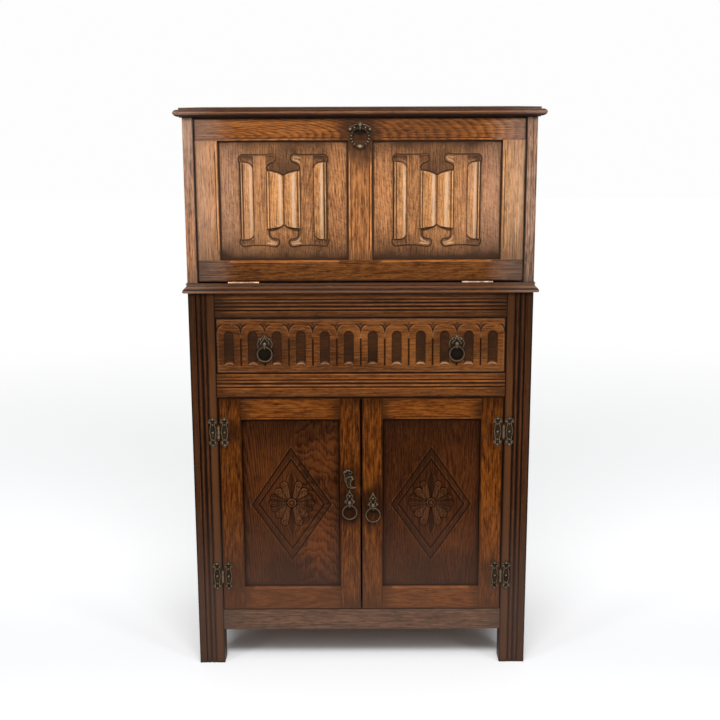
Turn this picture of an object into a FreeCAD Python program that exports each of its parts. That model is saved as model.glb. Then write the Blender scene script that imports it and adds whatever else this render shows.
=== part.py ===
import FreeCAD, Part
import math
import os
import types

import Sketcher

# Bar cabinet in joined oak: a bar compartment behind a fall front, one drawer, two cupboard doors.
# Lengths in millimetres, +Z up, front towards -Y, origin on the floor under the middle of the cabinet.

SIZES = [
    ("case_width", 780, "case across the posts"),
    ("case_depth", 400, "case from front to back"),
    ("top_overhang", 18, "top board past the case"),
    ("leg_height", 86, "floor to bottom rail"),
    ("bottom_rail_height", 51, "bottom rail"),
    ("door_opening", 522, "height between bottom rail and drawer rail"),
    ("drawer_rail_height", 57, "rail under the drawer"),
    ("drawer_opening", 128.5, "height between drawer rail and frieze"),
    ("frieze_height", 58.5, "rail above the drawer"),
    ("waist_thickness", 21.5, "board between lower and upper case"),
    ("fall_opening", 365.5, "height of the bar compartment"),
    ("top_thickness", 21.5, "top board"),
    ("post_width", 60, "front post across"),
    ("post_depth", 44, "posts from front to back"),
    ("rear_post_width", 44, "rear post across"),
    ("upper_side", 24, "upper side board thickness"),
    ("rail_thickness", 22.5, "front rails"),
    ("side_rail_height", 60, "upper side rail"),
    ("side_rail_inset", 4, "side rails behind the post face"),
    ("side_rail_thickness", 20, "side rails"),
    ("side_panel_thickness", 6, "side panels"),
    ("back_thickness", 5, "back panels"),
    ("back_rebate", 8, "back panel lap on the posts"),
    ("upper_rebate", 12, "back panel lap on the upper sides"),
    ("back_rail_height", 50, "upper back rail"),
    ("back_rail_thickness", 24, "back rails"),
    ("arris", 0.9, "eased edges"),
    ("shoulder", 8, "shoulder of a tenon"),
    ("tenon", 25, "tenon length in a front post"),
    ("tenon_thickness", 9, "tenon thickness"),
    ("tenon_back", 7, "tenon behind the front face"),
    ("side_tenon", 18, "tenon length of side and back rails"),
    ("groove", 8, "panel groove depth"),
    ("panel_room", 0.5, "room for a panel to move in its groove"),
    ("reed_depth", 2.8, "reeds below the face"),
    ("post_reed", 11.75, "one reed of a post"),
    ("post_outer_flat", 16.5, "flat outside the reeds of a post"),
    ("reed_radius", 7.6, "roundness of a post reed"),
    ("rail_reed", 8.6, "one reed of the frieze"),
    ("frieze_reed_start", 17, "frieze bottom to first reed"),
    ("low_reed", 9.2, "one reed of the drawer rail"),
    ("low_reed_start", 23.5, "drawer rail bottom to first reed"),
    ("rail_reed_radius", 5.2, "roundness of a rail reed"),
    ("moulding_height", 20.5, "waist moulding"),
    ("moulding_reach", 11, "waist moulding past the case"),
    ("mitre_room", 1, "mitre cut past the moulding"),
    ("front_thickness", 22, "fall, doors and drawer front"),
    ("front_gap", 1.5, "gap round the moving fronts"),
    ("meeting_gap", 1.75, "half the gap between the doors"),
    ("fall_lift", 3.6, "bar floor to fall"),
    ("fall_top_gap", 2, "gap above the fall"),
    ("fall_rail", 48, "fall rails"),
    ("fall_stile", 50, "fall stiles"),
    ("fall_muntin", 52, "fall muntin"),
    ("fall_tenon", 20, "fall tenon length"),
    ("fall_tenon_width", 30, "stile tenon across"),
    ("muntin_tenon_width", 32, "muntin tenon across"),
    ("recess", 8, "panels behind the face"),
    ("panel_thickness", 9, "carved panels"),
    ("fold_scale", 1, "scale of the carved fold"),
    ("fold_rise", 3, "carved fold above its ground"),
    ("outer_rib_start", 67, "outer rib, near side from the middle"),
    ("outer_rib_end", 95, "outer rib, far side from the middle"),
    ("outer_rib_reach", 81, "outer rib, middle to end"),
    ("inner_rib_end", 36, "inner rib, far side from the middle"),
    ("inner_rib_reach", 52, "inner rib, middle to end"),
    ("outer_rib_radius", 25.4, "roundness of the outer ribs"),
    ("inner_rib_radius", 41, "roundness of the inner ribs"),
    ("hinge_stile", 51, "door stile at the hinges"),
    ("meeting_stile", 48, "door stile at the middle"),
    ("door_top_rail", 51, "door top rail"),
    ("door_bottom_rail", 56, "door bottom rail"),
    ("door_tenon", 30, "door tenon length"),
    ("lozenge_centre", 397.8, "lozenge above the floor"),
    ("lozenge_half_width", 94, "outer lozenge line"),
    ("lozenge_half_height", 139, "outer lozenge line"),
    ("field_half_width", 78, "inner lozenge line"),
    ("field_half_height", 111.5, "inner lozenge line"),
    ("rosette_centre", 402.5, "rosette above the floor"),
    ("line_width", 2.6, "cut line across"),
    ("line_slope", 3.7, "cut line along the height"),
    ("line_depth", 1.6, "cut line"),
    ("petal_sink", 2, "petals below the panel face"),
    ("boss_radius", 12, "middle of the rosette"),
    ("boss_rise", 5, "middle of the rosette above the face"),
    ("flute_count", 12, "flutes on the drawer"),
    ("flute_pitch", 54.6, "flute to flute"),
    ("flute_half", 11, "half a flute across"),
    ("flute_bottom", 18, "drawer rail to flute"),
    ("flute_straight", 69, "straight side of a flute"),
    ("flute_foot_radius", 17, "arched foot of a flute"),
    ("flute_depth", 4, "flute"),
    ("slot_count", 11, "slots between the flutes"),
    ("slot_half", 2.5, "half a slot across"),
    ("slot_straight", 61, "straight side of a slot"),
    ("slot_depth", 3, "slot"),
    ("vee_bottom", 98.5, "drawer rail to the cut above a slot"),
    ("vee_half", 10, "half the cut across"),
    ("vee_height", 17, "height of the cut"),
    ("vee_side_radius", 17, "sides of the cut"),
    ("vee_top_radius", 11.5, "top of the cut"),
    ("vee_depth", 2.5, "cut above a slot"),
    ("drawer_depth", 326, "drawer side length"),
    ("drawer_side", 10, "drawer side thickness"),
    ("drawer_side_height", 110, "drawer sides"),
    ("drawer_bottom_lift", 5.5, "drawer bottom above the side's lower edge"),
    ("drawer_bottom", 5, "drawer bottom"),
    ("drawer_back", 12, "drawer back"),
    ("drawer_groove", 5, "groove for the drawer bottom"),
    ("runner_width", 54, "drawer runner"),
    ("runner_height", 14, "drawer runner"),
    ("runner_gap", 0.3, "drawer side above its runner"),
    ("guide_width", 16, "drawer guide"),
    ("guide_height", 20, "drawer guide"),
    ("guide_gap", 0.3, "drawer guide from the post line"),
    ("kicker_lift", 1.5, "kicker above the drawer opening"),
    ("floor_thickness", 16, "cupboard floor"),
    ("shelf_top", 416, "cupboard shelf above the floor"),
    ("shelf_thickness", 16, "shelves"),
    ("shelf_setback", 60, "cupboard shelf behind the front"),
    ("shelf_room", 0.5, "shelf from the side panel"),
    ("bearer_width", 18, "shelf bearers"),
    ("bearer_height", 14, "shelf bearers"),
    ("bar_shelf_top", 1121, "bar shelf above the floor"),
    ("bar_shelf_depth", 150, "bar shelf"),
    ("strip_width", 16, "closing strips from front to back"),
    ("strip_gap", 0.6, "closing strip behind the fall"),
    ("strip_drop", 11, "closing strips into the openings"),
    ("door_strip_height", 42, "closing strip of the doors"),
    ("strip_room", 1, "closing strip from the posts"),
    ("fall_axis_out", 2.6, "fall hinge axis before the face"),
    ("fall_hinge_start", 228, "fall hinge from the middle"),
    ("fall_hinge_length", 70, "fall hinge"),
    ("fall_hinge_leaf", 1.2, "fall hinge leaf thickness"),
    ("fall_hinge_depth", 20, "fall hinge leaf from front to back"),
    ("fall_hinge_back", 0.3, "fall hinge leaf behind the face"),
    ("fall_knuckle", 2.2, "fall hinge knuckle radius"),
    ("fall_pin", 1, "fall hinge pin radius"),
    ("knuckle_gap", 0.3, "gap between knuckles"),
    ("pin_room", 0.05, "running room round a pin"),
    ("stay_radius", 210, "quadrant stay, middle line"),
    ("stay_half", 6, "half the quadrant stay across"),
    ("stay_thickness", 3, "quadrant stay"),
    ("stay_inset", 4.5, "quadrant stay from the upper side"),
    ("stay_head", 8.5, "stop head radius"),
    ("stay_start", 7.2, "stay start behind upright, degrees"),
    ("stay_sweep", 97, "stay length, degrees"),
    ("stay_head_at", 105.5, "stop head behind upright, degrees"),
    ("stay_foot_width", 18, "stay foot across"),
    ("stay_foot_height", 24, "stay foot"),
    ("stay_foot_thickness", 2.6, "stay foot"),
    ("stay_slot_half", 12, "half the slot in the bar floor"),
    ("stay_slot_room", 1, "slot beside the stay"),
    ("keeper_at", 10.5, "keeper behind upright, degrees"),
    ("keeper_depth", 14, "keeper from front to back"),
    ("keeper_height", 32, "keeper"),
    ("keeper_slot", 16, "keeper slot height"),
    ("keeper_wall", 4, "keeper past the stay"),
    ("hinge_axis_out", 3.2, "door hinge axis before the face"),
    ("hinge_knuckle", 3, "door hinge knuckle radius"),
    ("hinge_half", 15, "half the door hinge knuckle"),
    ("hinge_middle", 4.85, "half the middle knuckle"),
    ("hinge_outer", 5.15, "start of the outer knuckles"),
    ("hinge_pin", 1.2, "door hinge pin radius"),
    ("hinge_tip", 2.6, "ball at the pin's ends"),
    ("hinge_leaf", 2, "door hinge leaf thickness"),
    ("hinge_tab", 12, "leaf to knuckle"),
    ("upper_hinge", 576.8, "upper door hinge above the floor"),
    ("lower_hinge", 222.8, "lower door hinge above the floor"),
    ("plate_thickness", 2.5, "pull plates"),
    ("pull_out", 9, "ring axis before the face"),
    ("eye_radius", 5.5, "eye of a pull"),
    ("eye_hole", 3, "hole in the eye"),
    ("eye_neck", 3, "neck of the eye"),
    ("shank", 2, "shank of a pull"),
    ("shank_length", 14, "shank in the wood"),
    ("fall_ring", 19.6, "fall ring, middle line"),
    ("fall_ring_wire", 2.1, "fall ring wire"),
    ("fall_pull_height", 1266.8, "fall ring axis above the floor"),
    ("ring", 15.9, "drawer and door rings, middle line"),
    ("ring_wire", 2, "drawer and door ring wire"),
    ("drawer_pull_at", 218.5, "drawer pull from the middle"),
    ("drawer_pull_height", 778.5, "drawer ring axis above the floor"),
    ("door_pull_at", 27.3, "door pull from the middle"),
    ("left_pull_height", 400, "left door ring axis above the floor"),
    ("right_pull_height", 393.5, "right door ring axis above the floor"),
    ("catch_at", 30, "catch from the middle"),
    ("catch_height", 463, "catch above the floor"),
    ("catch_gap", 0.4, "lever before its plate"),
    ("catch_lever", 4, "lever thickness"),
    ("spindle", 3, "catch spindle radius"),
    ("cam_gap", 1, "cam behind the door"),
    ("cam_thickness", 3, "catch cam"),
    ("cam_half", 5, "half the cam across"),
    ("cam_reach", 44, "cam from the spindle"),
]

# Carved fold, right half from the upper cusp round to the lower one:
# across, up, radius of the edge that follows (0 is straight), side it bulges to.
FOLD_EDGE = [
    (0, 55, 60, 1),
    (36, 66, 0, 0),
    (37.5, 77, 36, 1),
    (17, 93, 8, 1),
    (25, 102, 0, 0),
    (38, 100, 0, 0),
    (91, 100, 10, 1),
    (95, 84, 0, 0),
    (95, -84, 10, 1),
    (90, -101, 177, -1),
    (25, -101, 9, 1),
    (13, -94, 5, 1),
    (17, -87, 0, 0),
    (33, -77, 0, 0),
    (34, -65, 49, 1),
    (0, -52, 0, 0),
]

# Rosette petals: across, up, half length, half width, rise, turn from upright in degrees.
PETALS = [
    (0, 42, 36, 11, 5, 0),
    (0, -45, 40, 11, 5, 0),
    (31, 0, 22, 12, 4, 90),
    (-31, 0, 22, 12, 4, 90),
    (14, 33, 20, 9, 5, 18),
    (-14, 33, 20, 9, 5, -18),
    (24, 19, 15, 9, 4.5, 52),
    (-24, 19, 15, 9, 4.5, -52),
    (15, -36, 21, 9, 5, 162),
    (-15, -36, 21, 9, 5, -162),
    (24, -23, 16, 9, 4.5, 128),
    (-24, -23, 16, 9, 4.5, -128),
]

# Discs that make the cast plates: outwards or across, up, radius.
HINGE_LOBES = [
    (12.8, 0, 9.1),
    (11.5, 13, 6),
    (11.5, 22, 5),
    (7.5, 29, 4),
    (15, 30, 4.5),
    (11, 33, 3),
    (11.5, -13, 6),
    (11.5, -22, 5),
    (8, -29, 4),
    (15, -30, 4.5),
    (11, -33, 3),
]
FALL_PLATE_LOBES = [
    (0, -2, 13),
    (0, 8, 6),
    (11, -1, 8.5),
    (-11, -1, 8.5),
    (17.5, -3, 6.5),
    (-17.5, -3, 6.5),
    (22.5, -4, 3),
    (-22.5, -4, 3),
]
DRAWER_PLATE_LOBES = [
    (0, -12, 19),
    (0, -24, 14),
    (8, 6, 10),
    (-8, 6, 10),
    (9.5, 16, 5.5),
    (-9.5, 16, 5.5),
    (0, 15, 8),
    (0, 22, 5),
]
DOOR_PLATE_LOBES = [
    (0, -6, 9),
    (0, 3, 11),
    (0, 14, 9),
    (-4.5, 22, 5),
    (4.5, 22, 5),
    (0, 28, 5),
    (0, 34, 3.5),
    (0, 38, 2.5),
]
CATCH_PLATE_LOBES = [
    (0, 0, 9),
    (-3, 10, 7),
    (-5, 18, 5),
    (4, 17, 4.5),
]
CATCH_LEVER_LOBES = [
    (0, 0, 7),
    (6, 6, 5),
    (1, -8, 5),
    (3, -14, 4.5),
    (8, -18.5, 3.6),
    (12, -20.5, 3),
    (16, -21, 2.4),
]


class Size:
    """A length that knows its expression on the sheet."""

    def __init__(self, value, text):
        self.value = value
        self.text = text

    def __add__(self, other):
        other = as_size(other)
        return Size(self.value + other.value, f"({self.text} + {other.text})")

    def __sub__(self, other):
        other = as_size(other)
        return Size(self.value - other.value, f"({self.text} - {other.text})")

    def __mul__(self, other):
        other = as_size(other)
        return Size(self.value * other.value, f"({self.text} * {other.text})")

    def __truediv__(self, other):
        other = as_size(other)
        return Size(self.value / other.value, f"({self.text} / {other.text})")

    def __neg__(self):
        return Size(-self.value, f"(-{self.text})")


def as_size(thing):
    if isinstance(thing, Size):
        return thing
    return Size(thing, f"({thing})")


def sine(angle):
    return Size(math.sin(math.radians(angle.value)), f"sin({angle.text} * 1 deg)")


def cosine(angle):
    return Size(math.cos(math.radians(angle.value)), f"cos({angle.text} * 1 deg)")


doc = FreeCAD.newDocument("bar_cabinet")
sheet = doc.addObject("Spreadsheet::Sheet", "Sizes")
for row, (alias, amount, meaning) in enumerate(SIZES, start=1):
    sheet.set(f"A{row}", meaning)
    sheet.set(f"B{row}", str(amount))
    sheet.setAlias(f"B{row}", alias)
doc.recompute()
s = types.SimpleNamespace(**{alias: Size(amount, f"Sizes.{alias}") for alias, amount, meaning in SIZES})

VECTOR = FreeCAD.Vector
ALONG_X = FreeCAD.Rotation(VECTOR(0, 1, 0), 90)
ALONG_Y = FreeCAD.Rotation(VECTOR(1, 0, 0), -90)
UPRIGHT = FreeCAD.Rotation()
SIDES = (("left", -1), ("right", 1))

FRONT = (s.top_overhang - s.case_depth) / 2
BACK = FRONT + s.case_depth
HALF = s.case_width / 2
POST_IN = HALF - s.post_width
POST_BACK = FRONT + s.post_depth
REAR_IN = HALF - s.rear_post_width
REAR_FRONT = BACK - s.post_depth
UPPER_IN = HALF - s.upper_side
RAIL_BACK = FRONT + s.rail_thickness
LEAF_BACK = FRONT + s.front_thickness

ZERO = as_size(0)
Z_BOTTOM = s.leg_height
Z_FLOOR = Z_BOTTOM + s.bottom_rail_height
Z_DRAWER_RAIL = Z_FLOOR + s.door_opening
Z_DRAWER = Z_DRAWER_RAIL + s.drawer_rail_height
Z_FRIEZE = Z_DRAWER + s.drawer_opening
Z_WAIST = Z_FRIEZE + s.frieze_height
Z_BAR = Z_WAIST + s.waist_thickness
Z_TOP = Z_BAR + s.fall_opening
Z_END = Z_TOP + s.top_thickness

nodes = {}


def bind(thing, path, size):
    thing.setExpression(path, as_size(size).text)


def place(thing, spot, turn):
    """Put a feature at a spot of the sheet, turned as given."""
    thing.Placement = FreeCAD.Placement(VECTOR(), turn)
    for letter, size in zip("xyz", spot):
        bind(thing, f"Placement.Base.{letter}", size)


def body(label):
    return doc.addObject("PartDesign::Body", label)


def keep(label, thing):
    """Name a piece as a node of the cabinet."""
    thing.Label = label
    nodes[label] = thing


def keep_group(label, things):
    group = doc.addObject("Part::Compound", f"{label}_group")
    group.Links = things
    keep(label, group)


def across(sign, low, high):
    """Limits in X on one side of the middle, in rising order."""
    if sign > 0:
        return (low, high)
    return (-high, -low)


def block(owner, name, x, y, z, kind="Additive"):
    box = owner.newObject(f"PartDesign::{kind}Box", name)
    for side, limits in zip(("Length", "Width", "Height"), (x, y, z)):
        bind(box, side, limits[1] - limits[0])
    place(box, (x[0], y[0], z[0]), UPRIGHT)
    return box


def rod(owner, name, spot, turn, radius, length, kind="Additive"):
    cylinder = owner.newObject(f"PartDesign::{kind}Cylinder", name)
    bind(cylinder, "Radius", radius)
    bind(cylinder, "Height", length)
    place(cylinder, spot, turn)
    return cylinder


def ball(owner, name, spot, radius):
    sphere = owner.newObject("PartDesign::AdditiveSphere", name)
    bind(sphere, "Radius", radius)
    place(sphere, spot, UPRIGHT)


def ease(owner, feature):
    """Round every edge of a first block a little."""
    doc.recompute()
    fillet = owner.newObject("PartDesign::Fillet", f"{feature.Name}_eased")
    fillet.Base = (feature, ["Edge1"])
    fillet.UseAllEdges = True
    bind(fillet, "Radius", s.arris)


def board(label, x, y, z, tenons=(), cuts=()):
    """A board with eased edges, its tenons, and its mortises, grooves and rebates."""
    owner = body(f"{label}_body")
    ease(owner, block(owner, f"{label}_plank", x, y, z))
    for tenon in tenons:
        block(owner, f"{label}_tenon", *tenon)
    for cut in cuts:
        block(owner, f"{label}_cut", *cut, kind="Subtractive")
    return owner


def sheet_board(label, x, y, z, cuts=()):
    """A thin sheet with square edges."""
    owner = body(f"{label}_body")
    block(owner, f"{label}_sheet", x, y, z)
    for cut in cuts:
        block(owner, f"{label}_cut", *cut, kind="Subtractive")
    return owner


def add_arc(sketch, start, end, radius, bulge):
    """An arc between two points that bulges to the left (1) or the right (-1); returns its end numbers."""
    chord = end - start
    half = chord.Length / 2
    normal = VECTOR(-chord.y, chord.x, 0).normalize()
    reach = math.sqrt(max(radius * radius - half * half, 0))
    centre = (start + end) / 2 - normal * (bulge * reach)
    angles = [math.atan2(p.y - centre.y, p.x - centre.x) for p in (start, end)]
    if bulge > 0:
        angles.reverse()
    circle = Part.Circle(centre, VECTOR(0, 0, 1), radius)
    sketch.addGeometry(Part.ArcOfCircle(circle, angles[0], angles[1]))
    if bulge > 0:
        return (2, 1)
    return (1, 2)


def add_outline(sketch, corners):
    """A closed outline of corners: across, up, radius of the edge that follows, side it bulges to."""
    corners = [[as_size(part) for part in corner[:3]] + [corner[3]] for corner in corners]
    first = sketch.GeometryCount
    ends = []
    points = [VECTOR(corner[0].value, corner[1].value, 0) for corner in corners]
    for index, corner in enumerate(corners):
        start = points[index]
        end = points[(index + 1) % len(points)]
        if corner[2].value:
            ends.append(add_arc(sketch, start, end, corner[2].value, corner[3]))
        else:
            sketch.addGeometry(Part.LineSegment(start, end))
            ends.append((1, 2))
    for index, corner in enumerate(corners):
        edge = first + index
        following = first + (index + 1) % len(corners)
        joint = ends[(index + 1) % len(corners)][0]
        sketch.addConstraint(Sketcher.Constraint("Coincident", edge, ends[index][1], following, joint))
        for kind, size in (("DistanceX", corner[0]), ("DistanceY", corner[1])):
            number = sketch.addConstraint(Sketcher.Constraint(kind, edge, ends[index][0], size.value))
            sketch.setExpression(f"Constraints[{number}]", size.text)
        if corner[2].value:
            number = sketch.addConstraint(Sketcher.Constraint("Radius", edge, corner[2].value))
            sketch.setExpression(f"Constraints[{number}]", corner[2].text)


def prism(owner, name, role, outlines, low, high, kind="Pad", middle=(ZERO, ZERO)):
    """Pad or pocket outlines drawn on an origin plane between two limits along the plane's axis."""
    sketch = owner.newObject("Sketcher::SketchObject", f"{name}_sketch")
    plane = [feature for feature in owner.Origin.OriginFeatures if feature.Role == role][0]
    sketch.AttachmentSupport = [(plane, "")]
    sketch.MapMode = "FlatFace"
    begin = low if kind == "Pad" else high
    if role == "XZ_Plane":
        begin = -high if kind == "Pad" else -low
    for letter, size in zip("xyz", (middle[0], middle[1], begin)):
        bind(sketch, f"AttachmentOffset.Base.{letter}", size)
    for outline in outlines:
        add_outline(sketch, outline)
    feature = owner.newObject(f"PartDesign::{kind}", name)
    feature.Profile = sketch
    bind(feature, "Length", high - low)
    return feature


def repeat(owner, feature, count, pitch):
    """Repeat a cut along the length of its piece."""
    pattern = owner.newObject("PartDesign::LinearPattern", f"{feature.Name}_row")
    pattern.Originals = [feature]
    pattern.Direction = (feature.Profile[0], ["H_Axis"])
    bind(pattern, "Length", (count - 1) * pitch)
    bind(pattern, "Occurrences", count)
    owner.Tip = pattern
    doc.recompute()


def straight(*corners):
    return [(corner[0], corner[1], 0, 0) for corner in corners]


# Top board: the moulded edge runs along the front and both sides.
# Outwards, up, radius of the edge that follows.
TOP_EDGE_REACH = 18
TOP_EDGE = [
    (5, 0, 0),
    (5, 2, 12),
    (18, 10.5, 9),
    (6.5, 17, 0),
    (6, 17, 0),
]


def top_edge(face, sign, bulge):
    """The moulded edge, from the underside up, in front of a face."""
    corners = []
    for out, up, radius in TOP_EDGE:
        spot = face + s.top_overhang * (sign * out / TOP_EDGE_REACH)
        corners.append((spot, Z_TOP + up, radius, bulge))
    corners.append((spot, Z_END, 0, 0))
    return corners


top_run = body("top_run")
prism(
    top_run,
    "top_run_pad",
    "YZ_Plane",
    [[(BACK, Z_TOP, 0, 0)] + top_edge(FRONT, -1, 1) + [(BACK, Z_END, 0, 0)]],
    -HALF - s.top_overhang,
    HALF + s.top_overhang,
)
top_cross = body("top_cross")
left_edge = top_edge(-HALF, -1, 1)
right_edge = []
for corner, before in zip(reversed(top_edge(HALF, 1, 1)), list(reversed(top_edge(HALF, 1, 1)))[1:] + [None]):
    right_edge.append((corner[0], corner[1], before[2] if before else 0, 1))
prism(top_cross, "top_cross_pad", "XZ_Plane", [left_edge + right_edge], FRONT - s.top_overhang, BACK)
top = doc.addObject("Part::Common", "top_common")
top.Base = top_run
top.Tool = top_cross
keep("top_board", top)

# Upper case.
for side, sign in SIDES:
    side_x = across(sign, UPPER_IN, HALF)
    rebate_x = across(sign, UPPER_IN, UPPER_IN + s.upper_rebate)
    rebate = (rebate_x, (BACK - s.back_thickness, BACK), (Z_BAR, Z_TOP))
    keep(
        f"upper_side_{side}",
        board(f"upper_side_{side}", side_x, (FRONT, BACK), (Z_BAR, Z_TOP), cuts=[rebate]),
    )
upper_back_half = UPPER_IN + s.upper_rebate
keep(
    "upper_back_panel",
    sheet_board(
        "upper_back_panel",
        (-upper_back_half, upper_back_half),
        (BACK - s.back_thickness, BACK),
        (Z_BAR, Z_TOP),
    ),
)
bar_shelf_y = (BACK - s.back_thickness - s.bar_shelf_depth, BACK - s.back_thickness)
bar_shelf_under = s.bar_shelf_top - s.shelf_thickness
keep("bar_shelf", board("bar_shelf", (-UPPER_IN, UPPER_IN), bar_shelf_y, (bar_shelf_under, s.bar_shelf_top)))

# Fall axis and the stays that turn about it.
fall_axis_y = FRONT - s.fall_axis_out
fall_axis_z = Z_BAR + s.fall_lift / 2
stay_out = UPPER_IN - s.stay_inset
stay_in = stay_out - s.stay_thickness

stay_slots = []
for side, sign in SIDES:
    slot_y = fall_axis_y + s.stay_radius
    stay_slots.append(
        (
            across(sign, stay_in - s.stay_slot_room, stay_out + s.stay_slot_room),
            (slot_y - s.stay_slot_half, slot_y + s.stay_slot_half),
            (Z_WAIST, Z_BAR),
        )
    )
keep("bar_floor", board("bar_floor", (-HALF, HALF), (FRONT, BACK), (Z_WAIST, Z_BAR), cuts=stay_slots))

keepers = []
for side, sign in SIDES:
    keeper_y = fall_axis_y + s.stay_radius * sine(s.keeper_at)
    keeper_z = fall_axis_z + s.stay_radius * cosine(s.keeper_at)
    reach = (keeper_y - s.keeper_depth / 2, keeper_y + s.keeper_depth / 2)
    keeper_slot = (
        across(sign, stay_in - s.stay_slot_room / 2, stay_out + s.stay_slot_room / 2),
        reach,
        (keeper_z - s.keeper_slot / 2, keeper_z + s.keeper_slot / 2),
    )
    keepers.append(
        sheet_board(
            f"stay_keeper_{side}",
            across(sign, stay_in - s.keeper_wall, UPPER_IN),
            reach,
            (keeper_z - s.keeper_height / 2, keeper_z + s.keeper_height / 2),
            cuts=[keeper_slot],
        )
    )
keep_group("stay_keepers", keepers)

# Waist moulding in three strips, mitred at the front corners.
# Outwards, up, radius of the edge that follows, side it bulges to.
WAIST_EDGE_REACH = 11
WAIST_EDGE_HEIGHT = 20.5
WAIST_EDGE = [
    (0, 0, 0, 0),
    (9.5, 0, 2, 1),
    (11, 1.8, 0, 0),
    (11, 3.4, 9, -1),
    (6.2, 10.4, 0, 0),
    (4.8, 11.4, 5.5, 1),
    (3.5, 20, 0, 0),
    (3.5, 20.5, 0, 0),
    (0, 20.5, 0, 0),
]


def waist_edge(face, sign):
    """The moulding's section against a face, reaching out to one side."""
    corners = []
    for out, up, radius, bulge in WAIST_EDGE:
        spot = face + s.moulding_reach * (sign * out / WAIST_EDGE_REACH)
        height = Z_WAIST + s.moulding_height * (up / WAIST_EDGE_HEIGHT)
        corners.append((spot, height, radius, bulge * sign))
    return corners


moulding_z = (Z_WAIST, Z_WAIST + s.moulding_height)
mitre = s.moulding_reach + s.mitre_room
strips = []
waist_front = body("waist_front")
prism(
    waist_front,
    "waist_front_pad",
    "YZ_Plane",
    [waist_edge(FRONT, -1)],
    -HALF - s.moulding_reach,
    HALF + s.moulding_reach,
)
for side, sign in SIDES:
    inner = HALF * sign
    outer = (HALF + mitre) * sign
    triangle = straight((inner, FRONT), (outer, FRONT - mitre), (outer, FRONT))
    prism(waist_front, f"waist_front_mitre_{side}", "XY_Plane", [triangle], *moulding_z, kind="Pocket")
strips.append(waist_front)
for side, sign in SIDES:
    waist_side = body(f"waist_{side}")
    prism(
        waist_side,
        f"waist_{side}_pad",
        "XZ_Plane",
        [waist_edge(HALF * sign, sign)],
        FRONT - s.moulding_reach,
        BACK,
    )
    inner = HALF * sign
    outer = (HALF + mitre) * sign
    triangle = straight((inner, FRONT), (outer, FRONT - mitre), (inner, FRONT - mitre))
    prism(waist_side, f"waist_{side}_mitre", "XY_Plane", [triangle], *moulding_z, kind="Pocket")
    strips.append(waist_side)
keep_group("waist_moulding", strips)

# Lower case: posts, rails, panels.
front_tenon_y = (FRONT + s.tenon_back, FRONT + s.tenon_back + s.tenon_thickness)
FRONT_RAILS = {
    "frieze_rail": (Z_FRIEZE, Z_WAIST),
    "drawer_rail": (Z_DRAWER_RAIL, Z_DRAWER),
    "bottom_rail": (Z_BOTTOM, Z_FLOOR),
}
side_rail_x = (HALF - s.side_rail_inset - s.side_rail_thickness, HALF - s.side_rail_inset)
side_middle = side_rail_x[0] + s.side_rail_thickness / 2
side_tenon_x = (side_middle - s.tenon_thickness / 2, side_middle + s.tenon_thickness / 2)
side_panel_x = (side_middle - s.side_panel_thickness / 2, side_middle + s.side_panel_thickness / 2)
side_panel_z = (Z_FLOOR - s.groove, Z_WAIST - s.side_rail_height + s.groove)
SIDE_RAILS = {
    "upper": (Z_WAIST - s.side_rail_height, Z_WAIST),
    "lower": (Z_BOTTOM, Z_FLOOR),
}
back_rail_y = (BACK - s.back_thickness - s.back_rail_thickness, BACK - s.back_thickness)
back_middle = back_rail_y[0] + s.back_rail_thickness / 2
back_tenon_y = (back_middle - s.tenon_thickness / 2, back_middle + s.tenon_thickness / 2)
BACK_RAILS = {
    "upper": (Z_WAIST - s.back_rail_height, Z_WAIST),
    "lower": (Z_BOTTOM, Z_FLOOR),
}


def shouldered(z):
    """The height of a tenon between its shoulders."""
    return (z[0] + s.shoulder, z[1] - s.shoulder)


def post_section(sign):
    """A front post seen from above, with two reeds on its face."""
    start = POST_IN + s.post_width - s.post_outer_flat - s.post_reed * 2
    low = FRONT + s.reed_depth
    corners = [(POST_IN, FRONT, 0, 0), (start, FRONT, 0, 0)]
    for number in range(2):
        corners.append((start + s.post_reed * number, low, s.reed_radius, -sign))
    end = start + s.post_reed * 2
    corners += straight((end, low), (end, FRONT), (HALF, FRONT), (HALF, POST_BACK), (POST_IN, POST_BACK))
    return [(corner[0] * sign, corner[1], corner[2], corner[3]) for corner in corners]


for side, sign in SIDES:
    post = body(f"front_post_{side}_body")
    prism(post, f"front_post_{side}_pad", "XY_Plane", [post_section(sign)], ZERO, Z_WAIST)
    for rail, z in FRONT_RAILS.items():
        socket = (across(sign, POST_IN, POST_IN + s.tenon), front_tenon_y, shouldered(z))
        block(post, f"front_post_{side}_{rail}", *socket, kind="Subtractive")
    for rail, z in SIDE_RAILS.items():
        socket = (across(sign, *side_tenon_x), (POST_BACK - s.side_tenon, POST_BACK), shouldered(z))
        block(post, f"front_post_{side}_{rail}", *socket, kind="Subtractive")
    groove = (across(sign, *side_panel_x), (POST_BACK - s.groove, POST_BACK), side_panel_z)
    block(post, f"front_post_{side}_groove", *groove, kind="Subtractive")
    keep(f"front_post_{side}", post)

rear_posts = []
for side, sign in SIDES:
    rebate_x = across(sign, REAR_IN, REAR_IN + s.back_rebate)
    cuts = [(rebate_x, (BACK - s.back_thickness, BACK), (Z_BOTTOM, Z_WAIST))]
    for z in SIDE_RAILS.values():
        cuts.append((across(sign, *side_tenon_x), (REAR_FRONT, REAR_FRONT + s.side_tenon), shouldered(z)))
    for z in BACK_RAILS.values():
        cuts.append((across(sign, REAR_IN, REAR_IN + s.side_tenon), back_tenon_y, shouldered(z)))
    cuts.append((across(sign, *side_panel_x), (REAR_FRONT, REAR_FRONT + s.groove), side_panel_z))
    post_x = across(sign, REAR_IN, HALF)
    rear_posts.append(
        board(f"rear_post_{side}", post_x, (REAR_FRONT, BACK), (ZERO, Z_WAIST), cuts=cuts)
    )
keep_group("rear_posts", rear_posts)


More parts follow.
